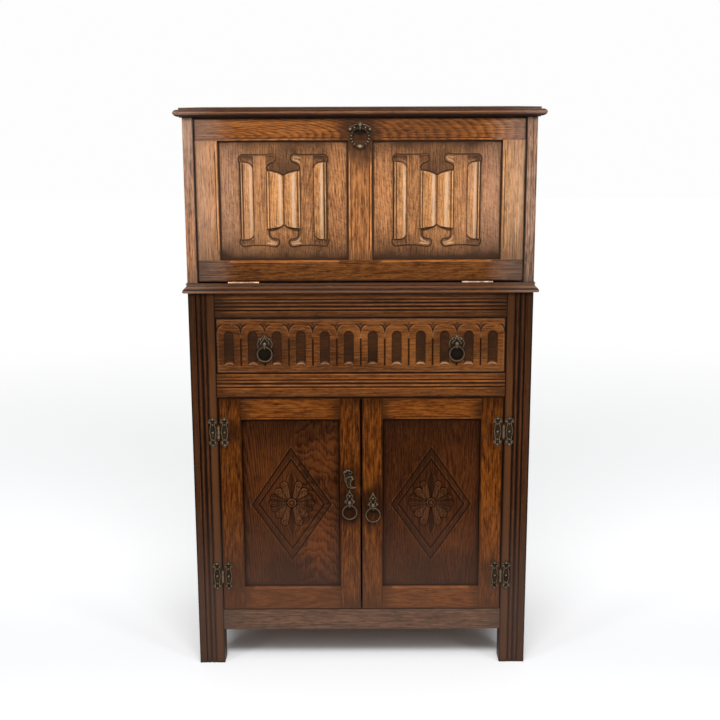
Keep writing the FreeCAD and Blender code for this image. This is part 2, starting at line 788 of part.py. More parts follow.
def reeded_section(z, start, width, count):
    """A rail seen from its end, with reeds along its face."""
    low = FRONT + s.reed_depth
    first = z[0] + start
    corners = [(FRONT, z[0], 0, 0), (FRONT, first, 0, 0)]
    for number in range(count):
        corners.append((low, first + width * number, s.rail_reed_radius, 1))
    last = first + width * count
    corners += straight((low, last), (FRONT, last), (FRONT, z[1]), (RAIL_BACK, z[1]), (RAIL_BACK, z[0]))
    return corners


REEDS = {
    "frieze_rail": (s.frieze_reed_start, s.rail_reed, 3),
    "drawer_rail": (s.low_reed_start, s.low_reed, 2),
}
for rail, z in FRONT_RAILS.items():
    tenons = []
    for side, sign in SIDES:
        tenons.append((across(sign, POST_IN, POST_IN + s.tenon), front_tenon_y, shouldered(z)))
    if rail in REEDS:
        piece = body(f"{rail}_body")
        prism(piece, f"{rail}_pad", "YZ_Plane", [reeded_section(z, *REEDS[rail])], -POST_IN, POST_IN)
        for tenon in tenons:
            block(piece, f"{rail}_tenon", *tenon)
    else:
        piece = board(rail, (-POST_IN, POST_IN), (FRONT, RAIL_BACK), z, tenons=tenons)
    keep(rail, piece)

side_rails = []
for side, sign in SIDES:
    for rail, z in SIDE_RAILS.items():
        tenons = []
        for y in ((POST_BACK - s.side_tenon, POST_BACK), (REAR_FRONT, REAR_FRONT + s.side_tenon)):
            tenons.append((across(sign, *side_tenon_x), y, shouldered(z)))
        groove_z = (z[1] - s.groove, z[1]) if rail == "lower" else (z[0], z[0] + s.groove)
        groove = (across(sign, *side_panel_x), (POST_BACK, REAR_FRONT), groove_z)
        side_rails.append(
            board(
                f"side_rail_{rail}_{side}",
                across(sign, *side_rail_x),
                (POST_BACK, REAR_FRONT),
                z,
                tenons=tenons,
                cuts=[groove],
            )
        )
keep_group("side_rails", side_rails)

for side, sign in SIDES:
    panel_y = (POST_BACK - s.groove, REAR_FRONT + s.groove)
    panel_x = across(sign, *side_panel_x)
    keep(f"side_panel_{side}", sheet_board(f"side_panel_{side}", panel_x, panel_y, side_panel_z))

back_rails = []
for rail, z in BACK_RAILS.items():
    tenons = []
    for side, sign in SIDES:
        tenons.append((across(sign, REAR_IN, REAR_IN + s.side_tenon), back_tenon_y, shouldered(z)))
    back_rails.append(board(f"back_rail_{rail}", (-REAR_IN, REAR_IN), back_rail_y, z, tenons=tenons))
keep_group("back_rails", back_rails)
lower_back_half = REAR_IN + s.back_rebate
keep(
    "lower_back_panel",
    sheet_board(
        "lower_back_panel",
        (-lower_back_half, lower_back_half),
        (BACK - s.back_thickness, BACK),
        (Z_BOTTOM, Z_WAIST),
    ),
)

# Inside the lower case.
floor_z = (Z_FLOOR - s.floor_thickness, Z_FLOOR)
notches = []
for side, sign in SIDES:
    notches.append((across(sign, POST_IN, side_rail_x[0]), (RAIL_BACK, POST_BACK), floor_z))
    notches.append((across(sign, REAR_IN, side_rail_x[0]), (REAR_FRONT, back_rail_y[0]), floor_z))
keep(
    "cupboard_floor",
    board(
        "cupboard_floor",
        (-side_rail_x[0], side_rail_x[0]),
        (RAIL_BACK, back_rail_y[0]),
        floor_z,
        cuts=notches,
    ),
)
shelf_half = side_panel_x[0] - s.shelf_room
shelf_y = (FRONT + s.shelf_setback, BACK - s.back_thickness)
shelf_z = (s.shelf_top - s.shelf_thickness, s.shelf_top)
shelf_notches = []
for side, sign in SIDES:
    shelf_notches.append((across(sign, REAR_IN, shelf_half), (REAR_FRONT, BACK - s.back_thickness), shelf_z))
keep(
    "cupboard_shelf",
    board("cupboard_shelf", (-shelf_half, shelf_half), shelf_y, shelf_z, cuts=shelf_notches),
)

bearers = []
for side, sign in SIDES:
    bearers.append(
        board(
            f"cupboard_bearer_{side}",
            across(sign, side_panel_x[0] - s.bearer_width, side_panel_x[0]),
            (POST_BACK, REAR_FRONT),
            (shelf_z[0] - s.bearer_height, shelf_z[0]),
        )
    )
    bearers.append(
        board(
            f"bar_bearer_{side}",
            across(sign, UPPER_IN - s.bearer_width, UPPER_IN),
            bar_shelf_y,
            (bar_shelf_under - s.bearer_height, bar_shelf_under),
        )
    )
keep_group("shelf_bearers", bearers)

runner_x = (side_rail_x[0] - s.runner_width, side_rail_x[0])
guide_x = (POST_IN + s.guide_gap, POST_IN + s.guide_gap + s.guide_width)
runners = []
kickers = []
for side, sign in SIDES:
    runner = body(f"drawer_runner_{side}")
    run_y = (POST_BACK, REAR_FRONT)
    block(runner, f"runner_{side}", across(sign, *runner_x), run_y, (Z_DRAWER - s.runner_height, Z_DRAWER))
    block(runner, f"guide_{side}", across(sign, *guide_x), run_y, (Z_DRAWER, Z_DRAWER + s.guide_height))
    runners.append(runner)
    kicker_low = Z_FRIEZE + s.kicker_lift
    kickers.append(
        board(f"kicker_{side}", across(sign, *runner_x), run_y, (kicker_low, kicker_low + s.runner_height))
    )
keep_group("drawer_runners", runners)
keep_group("drawer_kickers", kickers)

fall_strip_y = LEAF_BACK + s.strip_gap
door_strip_low = Z_DRAWER_RAIL - s.strip_drop
keep_group(
    "closing_strips",
    [
        board(
            "fall_strip",
            (-UPPER_IN, UPPER_IN),
            (fall_strip_y, fall_strip_y + s.strip_width),
            (Z_TOP - s.strip_width, Z_TOP),
        ),
        board(
            "door_strip",
            (s.strip_room - POST_IN, POST_IN - s.strip_room),
            (RAIL_BACK, RAIL_BACK + s.strip_width),
            (door_strip_low, door_strip_low + s.door_strip_height),
        ),
    ],
)

# Fall front: framed panels with a carved fold.
fall_x = UPPER_IN - s.front_gap
fall_z = (Z_BAR + s.fall_lift, Z_TOP - s.fall_top_gap)
fall_y = (FRONT, LEAF_BACK)
panel_y = (FRONT + s.recess, FRONT + s.recess + s.panel_thickness)
fall_in_z = (fall_z[0] + s.fall_rail, fall_z[1] - s.fall_rail)
stile_in = fall_x - s.fall_stile
muntin_half = s.fall_muntin / 2
fall_sight_x = (muntin_half, stile_in)
stile_middle = fall_x - s.fall_stile / 2
stile_tenon_x = (stile_middle - s.fall_tenon_width / 2, stile_middle + s.fall_tenon_width / 2)
muntin_tenon_x = (-s.muntin_tenon_width / 2, s.muntin_tenon_width / 2)


def pull_bore(owner, name, x, z):
    """The hole for a pull's shank, from the front face."""
    rod(owner, name, (x, FRONT, z), ALONG_Y, s.shank, s.shank_length, kind="Subtractive")


for rail, inner, outer, socket in (
    ("fall_top_rail", fall_in_z[1], fall_z[1], (fall_in_z[1], fall_in_z[1] + s.fall_tenon)),
    ("fall_bottom_rail", fall_in_z[0], fall_z[0], (fall_in_z[0] - s.fall_tenon, fall_in_z[0])),
):
    rail_z = (inner, outer) if outer.value > inner.value else (outer, inner)
    groove_z = (inner, inner + s.groove) if outer.value > inner.value else (inner - s.groove, inner)
    cuts = [(muntin_tenon_x, front_tenon_y, socket)]
    for side, sign in SIDES:
        cuts.append((across(sign, *stile_tenon_x), front_tenon_y, socket))
        cuts.append((across(sign, fall_sight_x[0] - s.groove, fall_sight_x[1] + s.groove), panel_y, groove_z))
    piece = board(rail, (-fall_x, fall_x), fall_y, rail_z, cuts=cuts)
    if rail == "fall_top_rail":
        pull_bore(piece, "fall_pull_bore", ZERO, s.fall_pull_height)
    keep(rail, piece)

fall_tenons_z = ((fall_in_z[0] - s.fall_tenon, fall_in_z[0]), (fall_in_z[1], fall_in_z[1] + s.fall_tenon))
fall_stiles = []
for side, sign in SIDES:
    tenons = [(across(sign, *stile_tenon_x), front_tenon_y, z) for z in fall_tenons_z]
    groove = (across(sign, stile_in, stile_in + s.groove), panel_y, fall_in_z)
    stile_x = across(sign, stile_in, fall_x)
    fall_stiles.append(
        board(f"fall_stile_{side}", stile_x, fall_y, fall_in_z, tenons=tenons, cuts=[groove])
    )
keep_group("fall_stiles", fall_stiles)
muntin_tenons = [(muntin_tenon_x, front_tenon_y, z) for z in fall_tenons_z]
muntin_grooves = [
    (across(sign, muntin_half - s.groove, muntin_half), panel_y, fall_in_z) for side, sign in SIDES
]
muntin_x = (-muntin_half, muntin_half)
keep(
    "fall_muntin",
    board("fall_muntin", muntin_x, fall_y, fall_in_z, tenons=muntin_tenons, cuts=muntin_grooves),
)

tongue = s.groove - s.panel_room
fold_left_half = []
for index in range(len(FOLD_EDGE) - 1, 0, -1):
    u, w, radius, bulge = FOLD_EDGE[index]
    fold_left_half.append((-u, w, FOLD_EDGE[index - 1][2], FOLD_EDGE[index - 1][3]))
fold_edge = [
    (s.fold_scale * u, s.fold_scale * w, s.fold_scale * radius, bulge)
    for u, w, radius, bulge in FOLD_EDGE[:-1] + fold_left_half
]
for side, sign in SIDES:
    panel = body(f"linenfold_{side}_body")
    panel_x = (fall_sight_x[0] - tongue, fall_sight_x[1] + tongue)
    panel_z = (fall_in_z[0] - tongue, fall_in_z[1] + tongue)
    block(panel, f"linenfold_{side}_board", across(sign, *panel_x), panel_y, panel_z)
    middle_x = (fall_sight_x[0] + fall_sight_x[1]) * (sign / 2)
    middle_z = (fall_in_z[0] + fall_in_z[1]) / 2
    fold_face = panel_y[0] - s.fold_rise
    prism(
        panel,
        f"linenfold_{side}_fold",
        "XZ_Plane",
        [fold_edge],
        fold_face,
        panel_y[0],
        middle=(middle_x, middle_z),
    )
    for rib, start, end, radius, reach in (
        ("outer_a", -s.outer_rib_end, -s.outer_rib_start, s.outer_rib_radius, s.outer_rib_reach),
        ("inner_a", -s.inner_rib_end, ZERO, s.inner_rib_radius, s.inner_rib_reach),
        ("inner_b", ZERO, s.inner_rib_end, s.inner_rib_radius, s.inner_rib_reach),
        ("outer_b", s.outer_rib_start, s.outer_rib_end, s.outer_rib_radius, s.outer_rib_reach),
    ):
        section = [
            (start, panel_y[0], 0, 0),
            (start, fold_face, radius, -1),
            (end, fold_face, 0, 0),
            (end, panel_y[0], 0, 0),
        ]
        prism(
            panel,
            f"linenfold_{side}_{rib}",
            "XY_Plane",
            [section],
            middle_z - reach,
            middle_z + reach,
            middle=(middle_x, ZERO),
        )
    keep(f"linenfold_panel_{side}", panel)

# Fall hinges: leaves between the bar floor and the fall, knuckles before the face.
third = s.fall_hinge_length / 3
leaf_y = (FRONT + s.fall_hinge_back, FRONT + s.fall_hinge_depth)
case_leaves = []
fall_leaves = []
pins = []
for side, sign in SIDES:
    whole = across(sign, s.fall_hinge_start, s.fall_hinge_start + s.fall_hinge_length)
    middle = (whole[0] + third + s.knuckle_gap, whole[1] - third - s.knuckle_gap)
    outers = ((whole[0], whole[0] + third), (whole[1] - third, whole[1]))
    case_leaf = body(f"fall_case_leaf_{side}")
    case_z = (Z_BAR, Z_BAR + s.fall_hinge_leaf)
    block(case_leaf, f"case_leaf_{side}", whole, leaf_y, case_z)
    for x in outers:
        block(case_leaf, f"case_tab_{side}", x, (fall_axis_y, leaf_y[0]), case_z)
        spot = (x[0], fall_axis_y, fall_axis_z)
        rod(case_leaf, f"case_knuckle_{side}", spot, ALONG_X, s.fall_knuckle, third)
    for x in outers:
        spot = (x[0], fall_axis_y, fall_axis_z)
        rod(case_leaf, f"case_bore_{side}", spot, ALONG_X, s.fall_pin, third, kind="Subtractive")
    case_leaves.append(case_leaf)
    fall_leaf = body(f"fall_leaf_{side}")
    fall_leaf_z = (fall_z[0] - s.fall_hinge_leaf, fall_z[0])
    block(fall_leaf, f"leaf_{side}", whole, leaf_y, fall_leaf_z)
    block(fall_leaf, f"tab_{side}", middle, (fall_axis_y, leaf_y[0]), fall_leaf_z)
    spot = (middle[0], fall_axis_y, fall_axis_z)
    length = middle[1] - middle[0]
    rod(fall_leaf, f"knuckle_{side}", spot, ALONG_X, s.fall_knuckle, length)
    rod(fall_leaf, f"bore_{side}", spot, ALONG_X, s.fall_pin + s.pin_room, length, kind="Subtractive")
    fall_leaves.append(fall_leaf)
    pin = body(f"fall_pin_{side}")
    spot = (whole[0], fall_axis_y, fall_axis_z)
    rod(pin, f"fall_pin_rod_{side}", spot, ALONG_X, s.fall_pin, s.fall_hinge_length)
    pins.append(pin)
keep_group("fall_hinge_case_leaves", case_leaves)
keep_group("fall_hinge_leaves", fall_leaves)

stays = []
for side, sign in SIDES:
    stay = body(f"quadrant_stay_{side}")
    start = math.radians(s.stay_start.value)
    turn = FreeCAD.Rotation(
        VECTOR(0, math.sin(start), math.cos(start)),
        VECTOR(0, math.cos(start), -math.sin(start)),
        VECTOR(-1, 0, 0),
        "XYZ",
    )
    stay_x = across(sign, stay_in, stay_out)
    spot = (stay_x[1], fall_axis_y, fall_axis_z)
    sector = rod(stay, f"stay_{side}_sector", spot, turn, s.stay_radius + s.stay_half, s.stay_thickness)
    bind(sector, "Angle", s.stay_sweep)
    inside = s.stay_radius - s.stay_half
    rod(stay, f"stay_{side}_inside", spot, turn, inside, s.stay_thickness, kind="Subtractive")
    head = (
        stay_x[0],
        fall_axis_y + s.stay_radius * sine(s.stay_head_at),
        fall_axis_z + s.stay_radius * cosine(s.stay_head_at),
    )
    rod(stay, f"stay_{side}_head", head, ALONG_X, s.stay_head, s.stay_thickness)
    foot_z = fall_axis_z + s.stay_radius * cosine(s.stay_start)
    block(
        stay,
        f"stay_{side}_foot",
        across(sign, stay_out - s.stay_foot_width, stay_out),
        (LEAF_BACK, LEAF_BACK + s.stay_foot_thickness),
        (foot_z - s.stay_foot_height / 2, foot_z + s.stay_foot_height / 2),
    )
    stays.append(stay)
keep_group("quadrant_stays", stays)


def discs(owner, name, lobes, x, z, y):
    """Overlapping discs that make a cast plate between two limits in Y."""
    for across_by, up_by, radius in lobes:
        rod(owner, name, (x + across_by, y[0], z + up_by), ALONG_Y, radius, y[1] - y[0])


def pull(label, lobes, x, z):
    """A cast plate with its eye and the shank that holds it."""
    owner = body(f"{label}_body")
    discs(owner, f"{label}_disc", lobes, x, z, (FRONT - s.plate_thickness, FRONT))
    axis_y = FRONT - s.pull_out
    rod(owner, f"{label}_neck", (x, axis_y, z), ALONG_Y, s.eye_neck, s.pull_out)
    shank_start = FRONT - s.plate_thickness
    rod(owner, f"{label}_shank", (x, shank_start, z), ALONG_Y, s.shank, s.plate_thickness + s.shank_length)
    ball(owner, f"{label}_eye", (x, axis_y, z), s.eye_radius)
    spot = (x - s.eye_radius, axis_y, z)
    rod(owner, f"{label}_hole", spot, ALONG_X, s.eye_hole, s.eye_radius * 2, kind="Subtractive")
    return owner


def ring(label, x, z, radius, wire):
    """A ring that hangs in the eye of its pull."""
    torus = doc.addObject("Part::Torus", f"{label}_torus")
    bind(torus, "Radius1", radius)
    bind(torus, "Radius2", wire)
    place(torus, (x, FRONT - s.pull_out, z - radius), ALONG_Y)
    keep(label, torus)


keep("fall_pull_plate", pull("fall_pull_plate", FALL_PLATE_LOBES, ZERO, s.fall_pull_height))
ring("fall_pull_ring", ZERO, s.fall_pull_height, s.fall_ring, s.fall_ring_wire)

# Drawer.
drawer_half = POST_IN - s.front_gap
drawer_z = (Z_DRAWER + s.front_gap, Z_FRIEZE - s.front_gap)
side_in = drawer_half - s.drawer_side
bottom_z = (drawer_z[0] + s.drawer_bottom_lift, drawer_z[0] + s.drawer_bottom_lift + s.drawer_bottom)
bottom_half = side_in + s.drawer_groove
front = board(
    "drawer_front",
    (-drawer_half, drawer_half),
    (FRONT, LEAF_BACK),
    drawer_z,
    cuts=[((-bottom_half, bottom_half), (LEAF_BACK - s.drawer_groove, LEAF_BACK), bottom_z)],
)
doc.recompute()
flute_outline = [
    (-s.flute_half, ZERO, s.flute_foot_radius, 1),
    (s.flute_half, ZERO, 0, 0),
    (s.flute_half, s.flute_straight, s.flute_half, -1),
    (ZERO, s.flute_straight + s.flute_half, s.flute_half, -1),
    (-s.flute_half, s.flute_straight, 0, 0),
]
slot_outline = [
    (-s.slot_half, ZERO, 0, 0),
    (s.slot_half, ZERO, 0, 0),
    (s.slot_half, s.slot_straight, s.slot_half, -1),
    (ZERO, s.slot_straight + s.slot_half, s.slot_half, -1),
    (-s.slot_half, s.slot_straight, 0, 0),
]
vee_outline = [
    (-s.vee_half, s.vee_height, s.vee_side_radius, 1),
    (ZERO, ZERO, s.vee_side_radius, 1),
    (s.vee_half, s.vee_height, s.vee_top_radius, -1),
]
for cut, outline, count, lift, depth in (
    ("flute", flute_outline, s.flute_count, s.flute_bottom, s.flute_depth),
    ("slot", slot_outline, s.slot_count, s.flute_bottom, s.slot_depth),
    ("vee", vee_outline, s.slot_count, s.vee_bottom, s.vee_depth),
):
    first = -(count - 1) * s.flute_pitch / 2
    feature = prism(
        front,
        cut,
        "XZ_Plane",
        [outline],
        FRONT,
        FRONT + depth,
        kind="Pocket",
        middle=(first, Z_DRAWER + lift),
    )
    doc.recompute()
    repeat(front, feature, count, s.flute_pitch)
for side, sign in SIDES:
    pull_bore(front, f"drawer_bore_{side}", s.drawer_pull_at * sign, s.drawer_pull_height)
keep("drawer_front", front)

drawer_end = LEAF_BACK + s.drawer_depth
drawer_top = drawer_z[0] + s.drawer_side_height
drawer_sides = []
for side, sign in SIDES:
    groove = (across(sign, side_in, bottom_half), (LEAF_BACK, drawer_end), bottom_z)
    drawer_sides.append(
        board(
            f"drawer_side_{side}",
            across(sign, side_in, drawer_half),
            (LEAF_BACK, drawer_end),
            (Z_DRAWER + s.runner_gap, drawer_top),
            cuts=[groove],
        )
    )
keep_group("drawer_sides", drawer_sides)
drawer_back_y = (drawer_end - s.drawer_back, drawer_end)
keep(
    "drawer_back",
    board("drawer_back", (-side_in, side_in), drawer_back_y, (bottom_z[1], drawer_top)),
)
keep(
    "drawer_bottom",
    sheet_board(
        "drawer_bottom",
        (-bottom_half, bottom_half),
        (LEAF_BACK - s.drawer_groove, drawer_end),
        bottom_z,
    ),
)
drawer_plates = []
for side, sign in SIDES:
    x = s.drawer_pull_at * sign
    drawer_plates.append(pull(f"drawer_pull_{side}", DRAWER_PLATE_LOBES, x, s.drawer_pull_height))
    ring(f"drawer_pull_ring_{side}", x, s.drawer_pull_height, s.ring, s.ring_wire)
keep_group("drawer_pull_plates", drawer_plates)

# Doors: framed panels with a lozenge and a rosette, on surface hinges.
door_z = (Z_FLOOR + s.front_gap, Z_DRAWER_RAIL - s.front_gap)
door_out = POST_IN - s.front_gap
hinge_sight = door_out - s.hinge_stile
meeting_sight = s.meeting_gap + s.meeting_stile
door_in_z = (door_z[0] + s.door_bottom_rail, door_z[1] - s.door_top_rail)
door_y = (FRONT, LEAF_BACK)
DOOR_RAILS = {
    "top": (door_in_z[1], door_z[1]),
    "bottom": (door_z[0], door_in_z[0]),
}
DOOR_PULLS = {
    "left": s.left_pull_height,
    "right": s.right_pull_height,
}
hinge_axis_x = POST_IN - s.front_gap / 2
hinge_axis_y = FRONT - s.hinge_axis_out


def rhombus(half_width, half_height):
    return straight((half_width, ZERO), (ZERO, half_height), (-half_width, ZERO), (ZERO, -half_height))


def hinge_leaf(label, sign, outward, z, knuckles, bore):
    """One leaf of a surface hinge; outward is 1 on the post and -1 on the door."""
    owner = body(label)
    axis_x = hinge_axis_x * sign
    y = (FRONT - s.hinge_leaf, FRONT)
    lobes = [(out * sign * outward, up, radius) for out, up, radius in HINGE_LOBES]
    discs(owner, f"{label}_disc", lobes, axis_x, z, y)
    for low, high in knuckles:
        tab = across(sign * outward, ZERO, s.hinge_tab)
        block(owner, f"{label}_tab", (axis_x + tab[0], axis_x + tab[1]), y, (z + low, z + high))
        rod(owner, f"{label}_knuckle", (axis_x, hinge_axis_y, z + low), UPRIGHT, s.hinge_knuckle, high - low)
    for low, high in knuckles:
        spot = (axis_x, hinge_axis_y, z + low)
        rod(owner, f"{label}_bore", spot, UPRIGHT, bore, high - low, kind="Subtractive")
    return owner


middle_knuckle = [(-s.hinge_middle, s.hinge_middle)]
outer_knuckles = [(-s.hinge_half, -s.hinge_outer), (s.hinge_outer, s.hinge_half)]
post_leaves = []
for side, sign in SIDES:
    meeting_stile_x = across(sign, s.meeting_gap, meeting_sight)
    hinge_stile_x = across(sign, hinge_sight, door_out)
    stile_cuts = {}
    groove_x = {
        "hinge": across(sign, hinge_sight, hinge_sight + s.groove),
        "meeting": across(sign, meeting_sight - s.groove, meeting_sight),
    }
    for stile, x in groove_x.items():
        stile_cuts[stile] = [(x, panel_y, (door_in_z[0] - s.groove, door_in_z[1] + s.groove))]
    socket_x = {
        "hinge": across(sign, hinge_sight, hinge_sight + s.door_tenon),
        "meeting": across(sign, meeting_sight - s.door_tenon, meeting_sight),
    }
    for z in DOOR_RAILS.values():
        for stile in ("hinge", "meeting"):
            stile_cuts[stile].append((socket_x[stile], front_tenon_y, shouldered(z)))
    cuts = stile_cuts["hinge"]
    hinge_stile = board(f"{side}_hinge_stile", hinge_stile_x, door_y, door_z, cuts=cuts)
    cuts = stile_cuts["meeting"]
    meeting_stile = board(f"{side}_meeting_stile", meeting_stile_x, door_y, door_z, cuts=cuts)
    pull_bore(meeting_stile, f"{side}_door_bore", s.door_pull_at * sign, DOOR_PULLS[side])
    if side == "left":
        spot = (-s.catch_at, FRONT, s.catch_height)
        through = s.spindle + s.pin_room
        rod(meeting_stile, "spindle_bore", spot, ALONG_Y, through, s.front_thickness, kind="Subtractive")
    keep_group(f"{side}_door_stiles", [hinge_stile, meeting_stile])

    rails = []
    for rail, z in DOOR_RAILS.items():
        tenons = [(socket_x[stile], front_tenon_y, shouldered(z)) for stile in ("hinge", "meeting")]
        groove_z = (z[0], z[0] + s.groove) if rail == "top" else (z[1] - s.groove, z[1])
        x = across(sign, meeting_sight, hinge_sight)
        rails.append(board(f"{side}_{rail}_rail", x, door_y, z, tenons=tenons, cuts=[(x, panel_y, groove_z)]))
    keep_group(f"{side}_door_rails", rails)

    panel = body(f"{side}_panel_body")
    panel_x = across(sign, meeting_sight - tongue, hinge_sight + tongue)
    block(panel, f"{side}_panel_board", panel_x, panel_y, (door_in_z[0] - tongue, door_in_z[1] + tongue))
    middle = ((meeting_sight + hinge_sight) * (sign / 2), s.lozenge_centre)
    face = panel_y[0]
    for line, half_width, half_height in (
        ("outer", s.lozenge_half_width, s.lozenge_half_height),
        ("inner", s.field_half_width, s.field_half_height),
    ):
        outlines = [
            rhombus(half_width, half_height),
            rhombus(half_width - s.line_width, half_height - s.line_slope),
        ]
        prism(
            panel,
            f"{side}_{line}_line",
            "XZ_Plane",
            outlines,
            face,
            face + s.line_depth,
            kind="Pocket",
            middle=middle,
        )
    for u, w, long_half, wide_half, rise, angle in PETALS:
        petal = panel.newObject("PartDesign::AdditiveEllipsoid", f"{side}_petal")
        bind(petal, "Radius1", long_half)
        bind(petal, "Radius2", wide_half)
        bind(petal, "Radius3", s.petal_sink + rise)
        lean = FreeCAD.Rotation(VECTOR(0, 1, 0), angle)
        place(petal, (middle[0] + u, face + s.petal_sink, s.rosette_centre + w), lean)
    boss = panel.newObject("PartDesign::AdditiveEllipsoid", f"{side}_boss")
    bind(boss, "Radius1", s.boss_radius)
    bind(boss, "Radius2", s.boss_radius)
    bind(boss, "Radius3", s.petal_sink + s.boss_rise)
    place(boss, (middle[0], face + s.petal_sink, s.rosette_centre), UPRIGHT)
    keep(f"{side}_door_panel", panel)

    door_leaves = []
    for height, z in (("upper", s.upper_hinge), ("lower", s.lower_hinge)):
        post_leaves.append(hinge_leaf(f"{side}_{height}_post_leaf", sign, 1, z, outer_knuckles, s.hinge_pin))
        loose = s.hinge_pin + s.pin_room
        door_leaves.append(hinge_leaf(f"{side}_{height}_door_leaf", sign, -1, z, middle_knuckle, loose))
        pin = body(f"{side}_{height}_pin")
        spot = (hinge_axis_x * sign, hinge_axis_y, z - s.hinge_half)
        rod(pin, f"{side}_{height}_pin_rod", spot, UPRIGHT, s.hinge_pin, s.hinge_half * 2)
        for end in (-s.hinge_half - s.hinge_tip, s.hinge_half + s.hinge_tip):
            ball(pin, f"{side}_{height}_pin_tip", (spot[0], spot[1], z + end), s.hinge_tip + s.pin_room)
        pins.append(pin)
    keep_group(f"{side}_door_hinge_leaves", door_leaves)
    x = s.door_pull_at * sign
    keep(f"{side}_door_pull_plate", pull(f"{side}_door_pull_plate", DOOR_PLATE_LOBES, x, DOOR_PULLS[side]))
    ring(f"{side}_door_pull_ring", x, DOOR_PULLS[side], s.ring, s.ring_wire)
keep_group("post_hinge_leaves", post_leaves)
keep_group("hinge_pins", pins)

# Catch on the left door: a cast plate, and a turn with its lever, spindle and cam.
catch_plate = body("catch_plate_body")
plate_y = (FRONT - s.plate_thickness, FRONT)
discs(catch_plate, "catch_plate_disc", CATCH_PLATE_LOBES, -s.catch_at, s.catch_height, plate_y)
spot = (-s.catch_at, plate_y[0], s.catch_height)
bore = s.spindle + s.pin_room
rod(catch_plate, "catch_plate_bore", spot, ALONG_Y, bore, s.plate_thickness, kind="Subtractive")
keep("catch_plate", catch_plate)
turn_piece = body("catch_turn_body")
lever_y = (plate_y[0] - s.catch_gap - s.catch_lever, plate_y[0] - s.catch_gap)
discs(turn_piece, "catch_lever_disc", CATCH_LEVER_LOBES, -s.catch_at, s.catch_height, lever_y)
cam_y = (LEAF_BACK + s.cam_gap, LEAF_BACK + s.cam_gap + s.cam_thickness)
spot = (-s.catch_at, lever_y[0], s.catch_height)
rod(turn_piece, "catch_spindle", spot, ALONG_Y, s.spindle, cam_y[1] - lever_y[0])
block(
    turn_piece,
    "catch_cam",
    (-s.catch_at - s.cam_half, s.cam_half - s.catch_at),
    cam_y,
    (s.catch_height - s.cam_reach, s.catch_height + s.cam_half),
)
keep("catch_turn", turn_piece)

doc.recompute()
for thing in doc.Objects:
    troubles = [state for state in thing.State if state in ("Invalid", "Error")]
    if troubles:
        raise RuntimeError(f"{thing.Name} did not recompute: {troubles}")
os.makedirs("parts", exist_ok=True)
for label, piece in nodes.items():
    shape = piece.Shape
    if shape.isNull() or not shape.isValid() or not shape.Solids:
        raise RuntimeError(f"{label} has no valid solid")
    shape.exportStep(f"parts/{label}.step")
    print(label, len(shape.Solids), round(shape.Volume / 1000, 2))
print(len(nodes), "nodes")
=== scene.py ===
"""Dresses the oak bar cabinet: carved panels, cast fittings, oak and metal finishes, and its studio stage."""
import functools
import math

import bmesh
import bpy
import numpy as np
from mathutils import Matrix, Vector


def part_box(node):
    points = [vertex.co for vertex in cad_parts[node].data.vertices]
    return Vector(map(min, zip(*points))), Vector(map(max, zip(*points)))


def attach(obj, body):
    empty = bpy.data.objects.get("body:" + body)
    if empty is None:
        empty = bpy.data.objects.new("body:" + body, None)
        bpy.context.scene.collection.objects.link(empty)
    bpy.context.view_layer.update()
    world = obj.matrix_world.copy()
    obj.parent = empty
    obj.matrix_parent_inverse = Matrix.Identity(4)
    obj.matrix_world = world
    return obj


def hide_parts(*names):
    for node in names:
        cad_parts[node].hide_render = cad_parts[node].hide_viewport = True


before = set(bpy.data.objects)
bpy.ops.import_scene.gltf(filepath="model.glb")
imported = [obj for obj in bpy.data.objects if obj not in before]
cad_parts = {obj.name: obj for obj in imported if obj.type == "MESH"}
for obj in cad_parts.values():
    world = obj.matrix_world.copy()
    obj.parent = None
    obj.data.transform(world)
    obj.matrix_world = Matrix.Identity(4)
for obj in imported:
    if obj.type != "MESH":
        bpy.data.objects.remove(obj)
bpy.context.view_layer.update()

bl_info = {
    "name": "Oak Bar Cabinet",
    "version": (1, 0, 0),
    "blender": (4, 5, 0),
    "location": "View3D > Sidebar > Cabinet",
    "description": "Carved panels, cast fittings, oak finishes and the stage of an oak bar cabinet",
    "category": "Object",
}

MM = 0.001
SIDES = (("left", -1), ("right", 1))


# ---------------------------------------------------------------- what a user would change


def srgb(*parts):
    """A colour in 0 to 255, as the linear values that Blender keeps."""
    parts = [part / 255 for part in parts]
    return tuple(part / 12.92 if part <= 0.04045 else ((part + 0.055) / 1.055) ** 2.4 for part in parts)


def colour(text, *parts):
    return bpy.props.FloatVectorProperty(
        name=text, description=text, subtype="COLOR", size=3, min=0, max=1, default=srgb(*parts)
    )


def number(text, default, **kind):
    return bpy.props.FloatProperty(name=text, description=text, default=default, **kind)


def length(text, default):
    return number(f"{text}, mm", default, precision=2)


def share(text, default):
    return number(text, default, min=0, max=1, subtype="FACTOR")


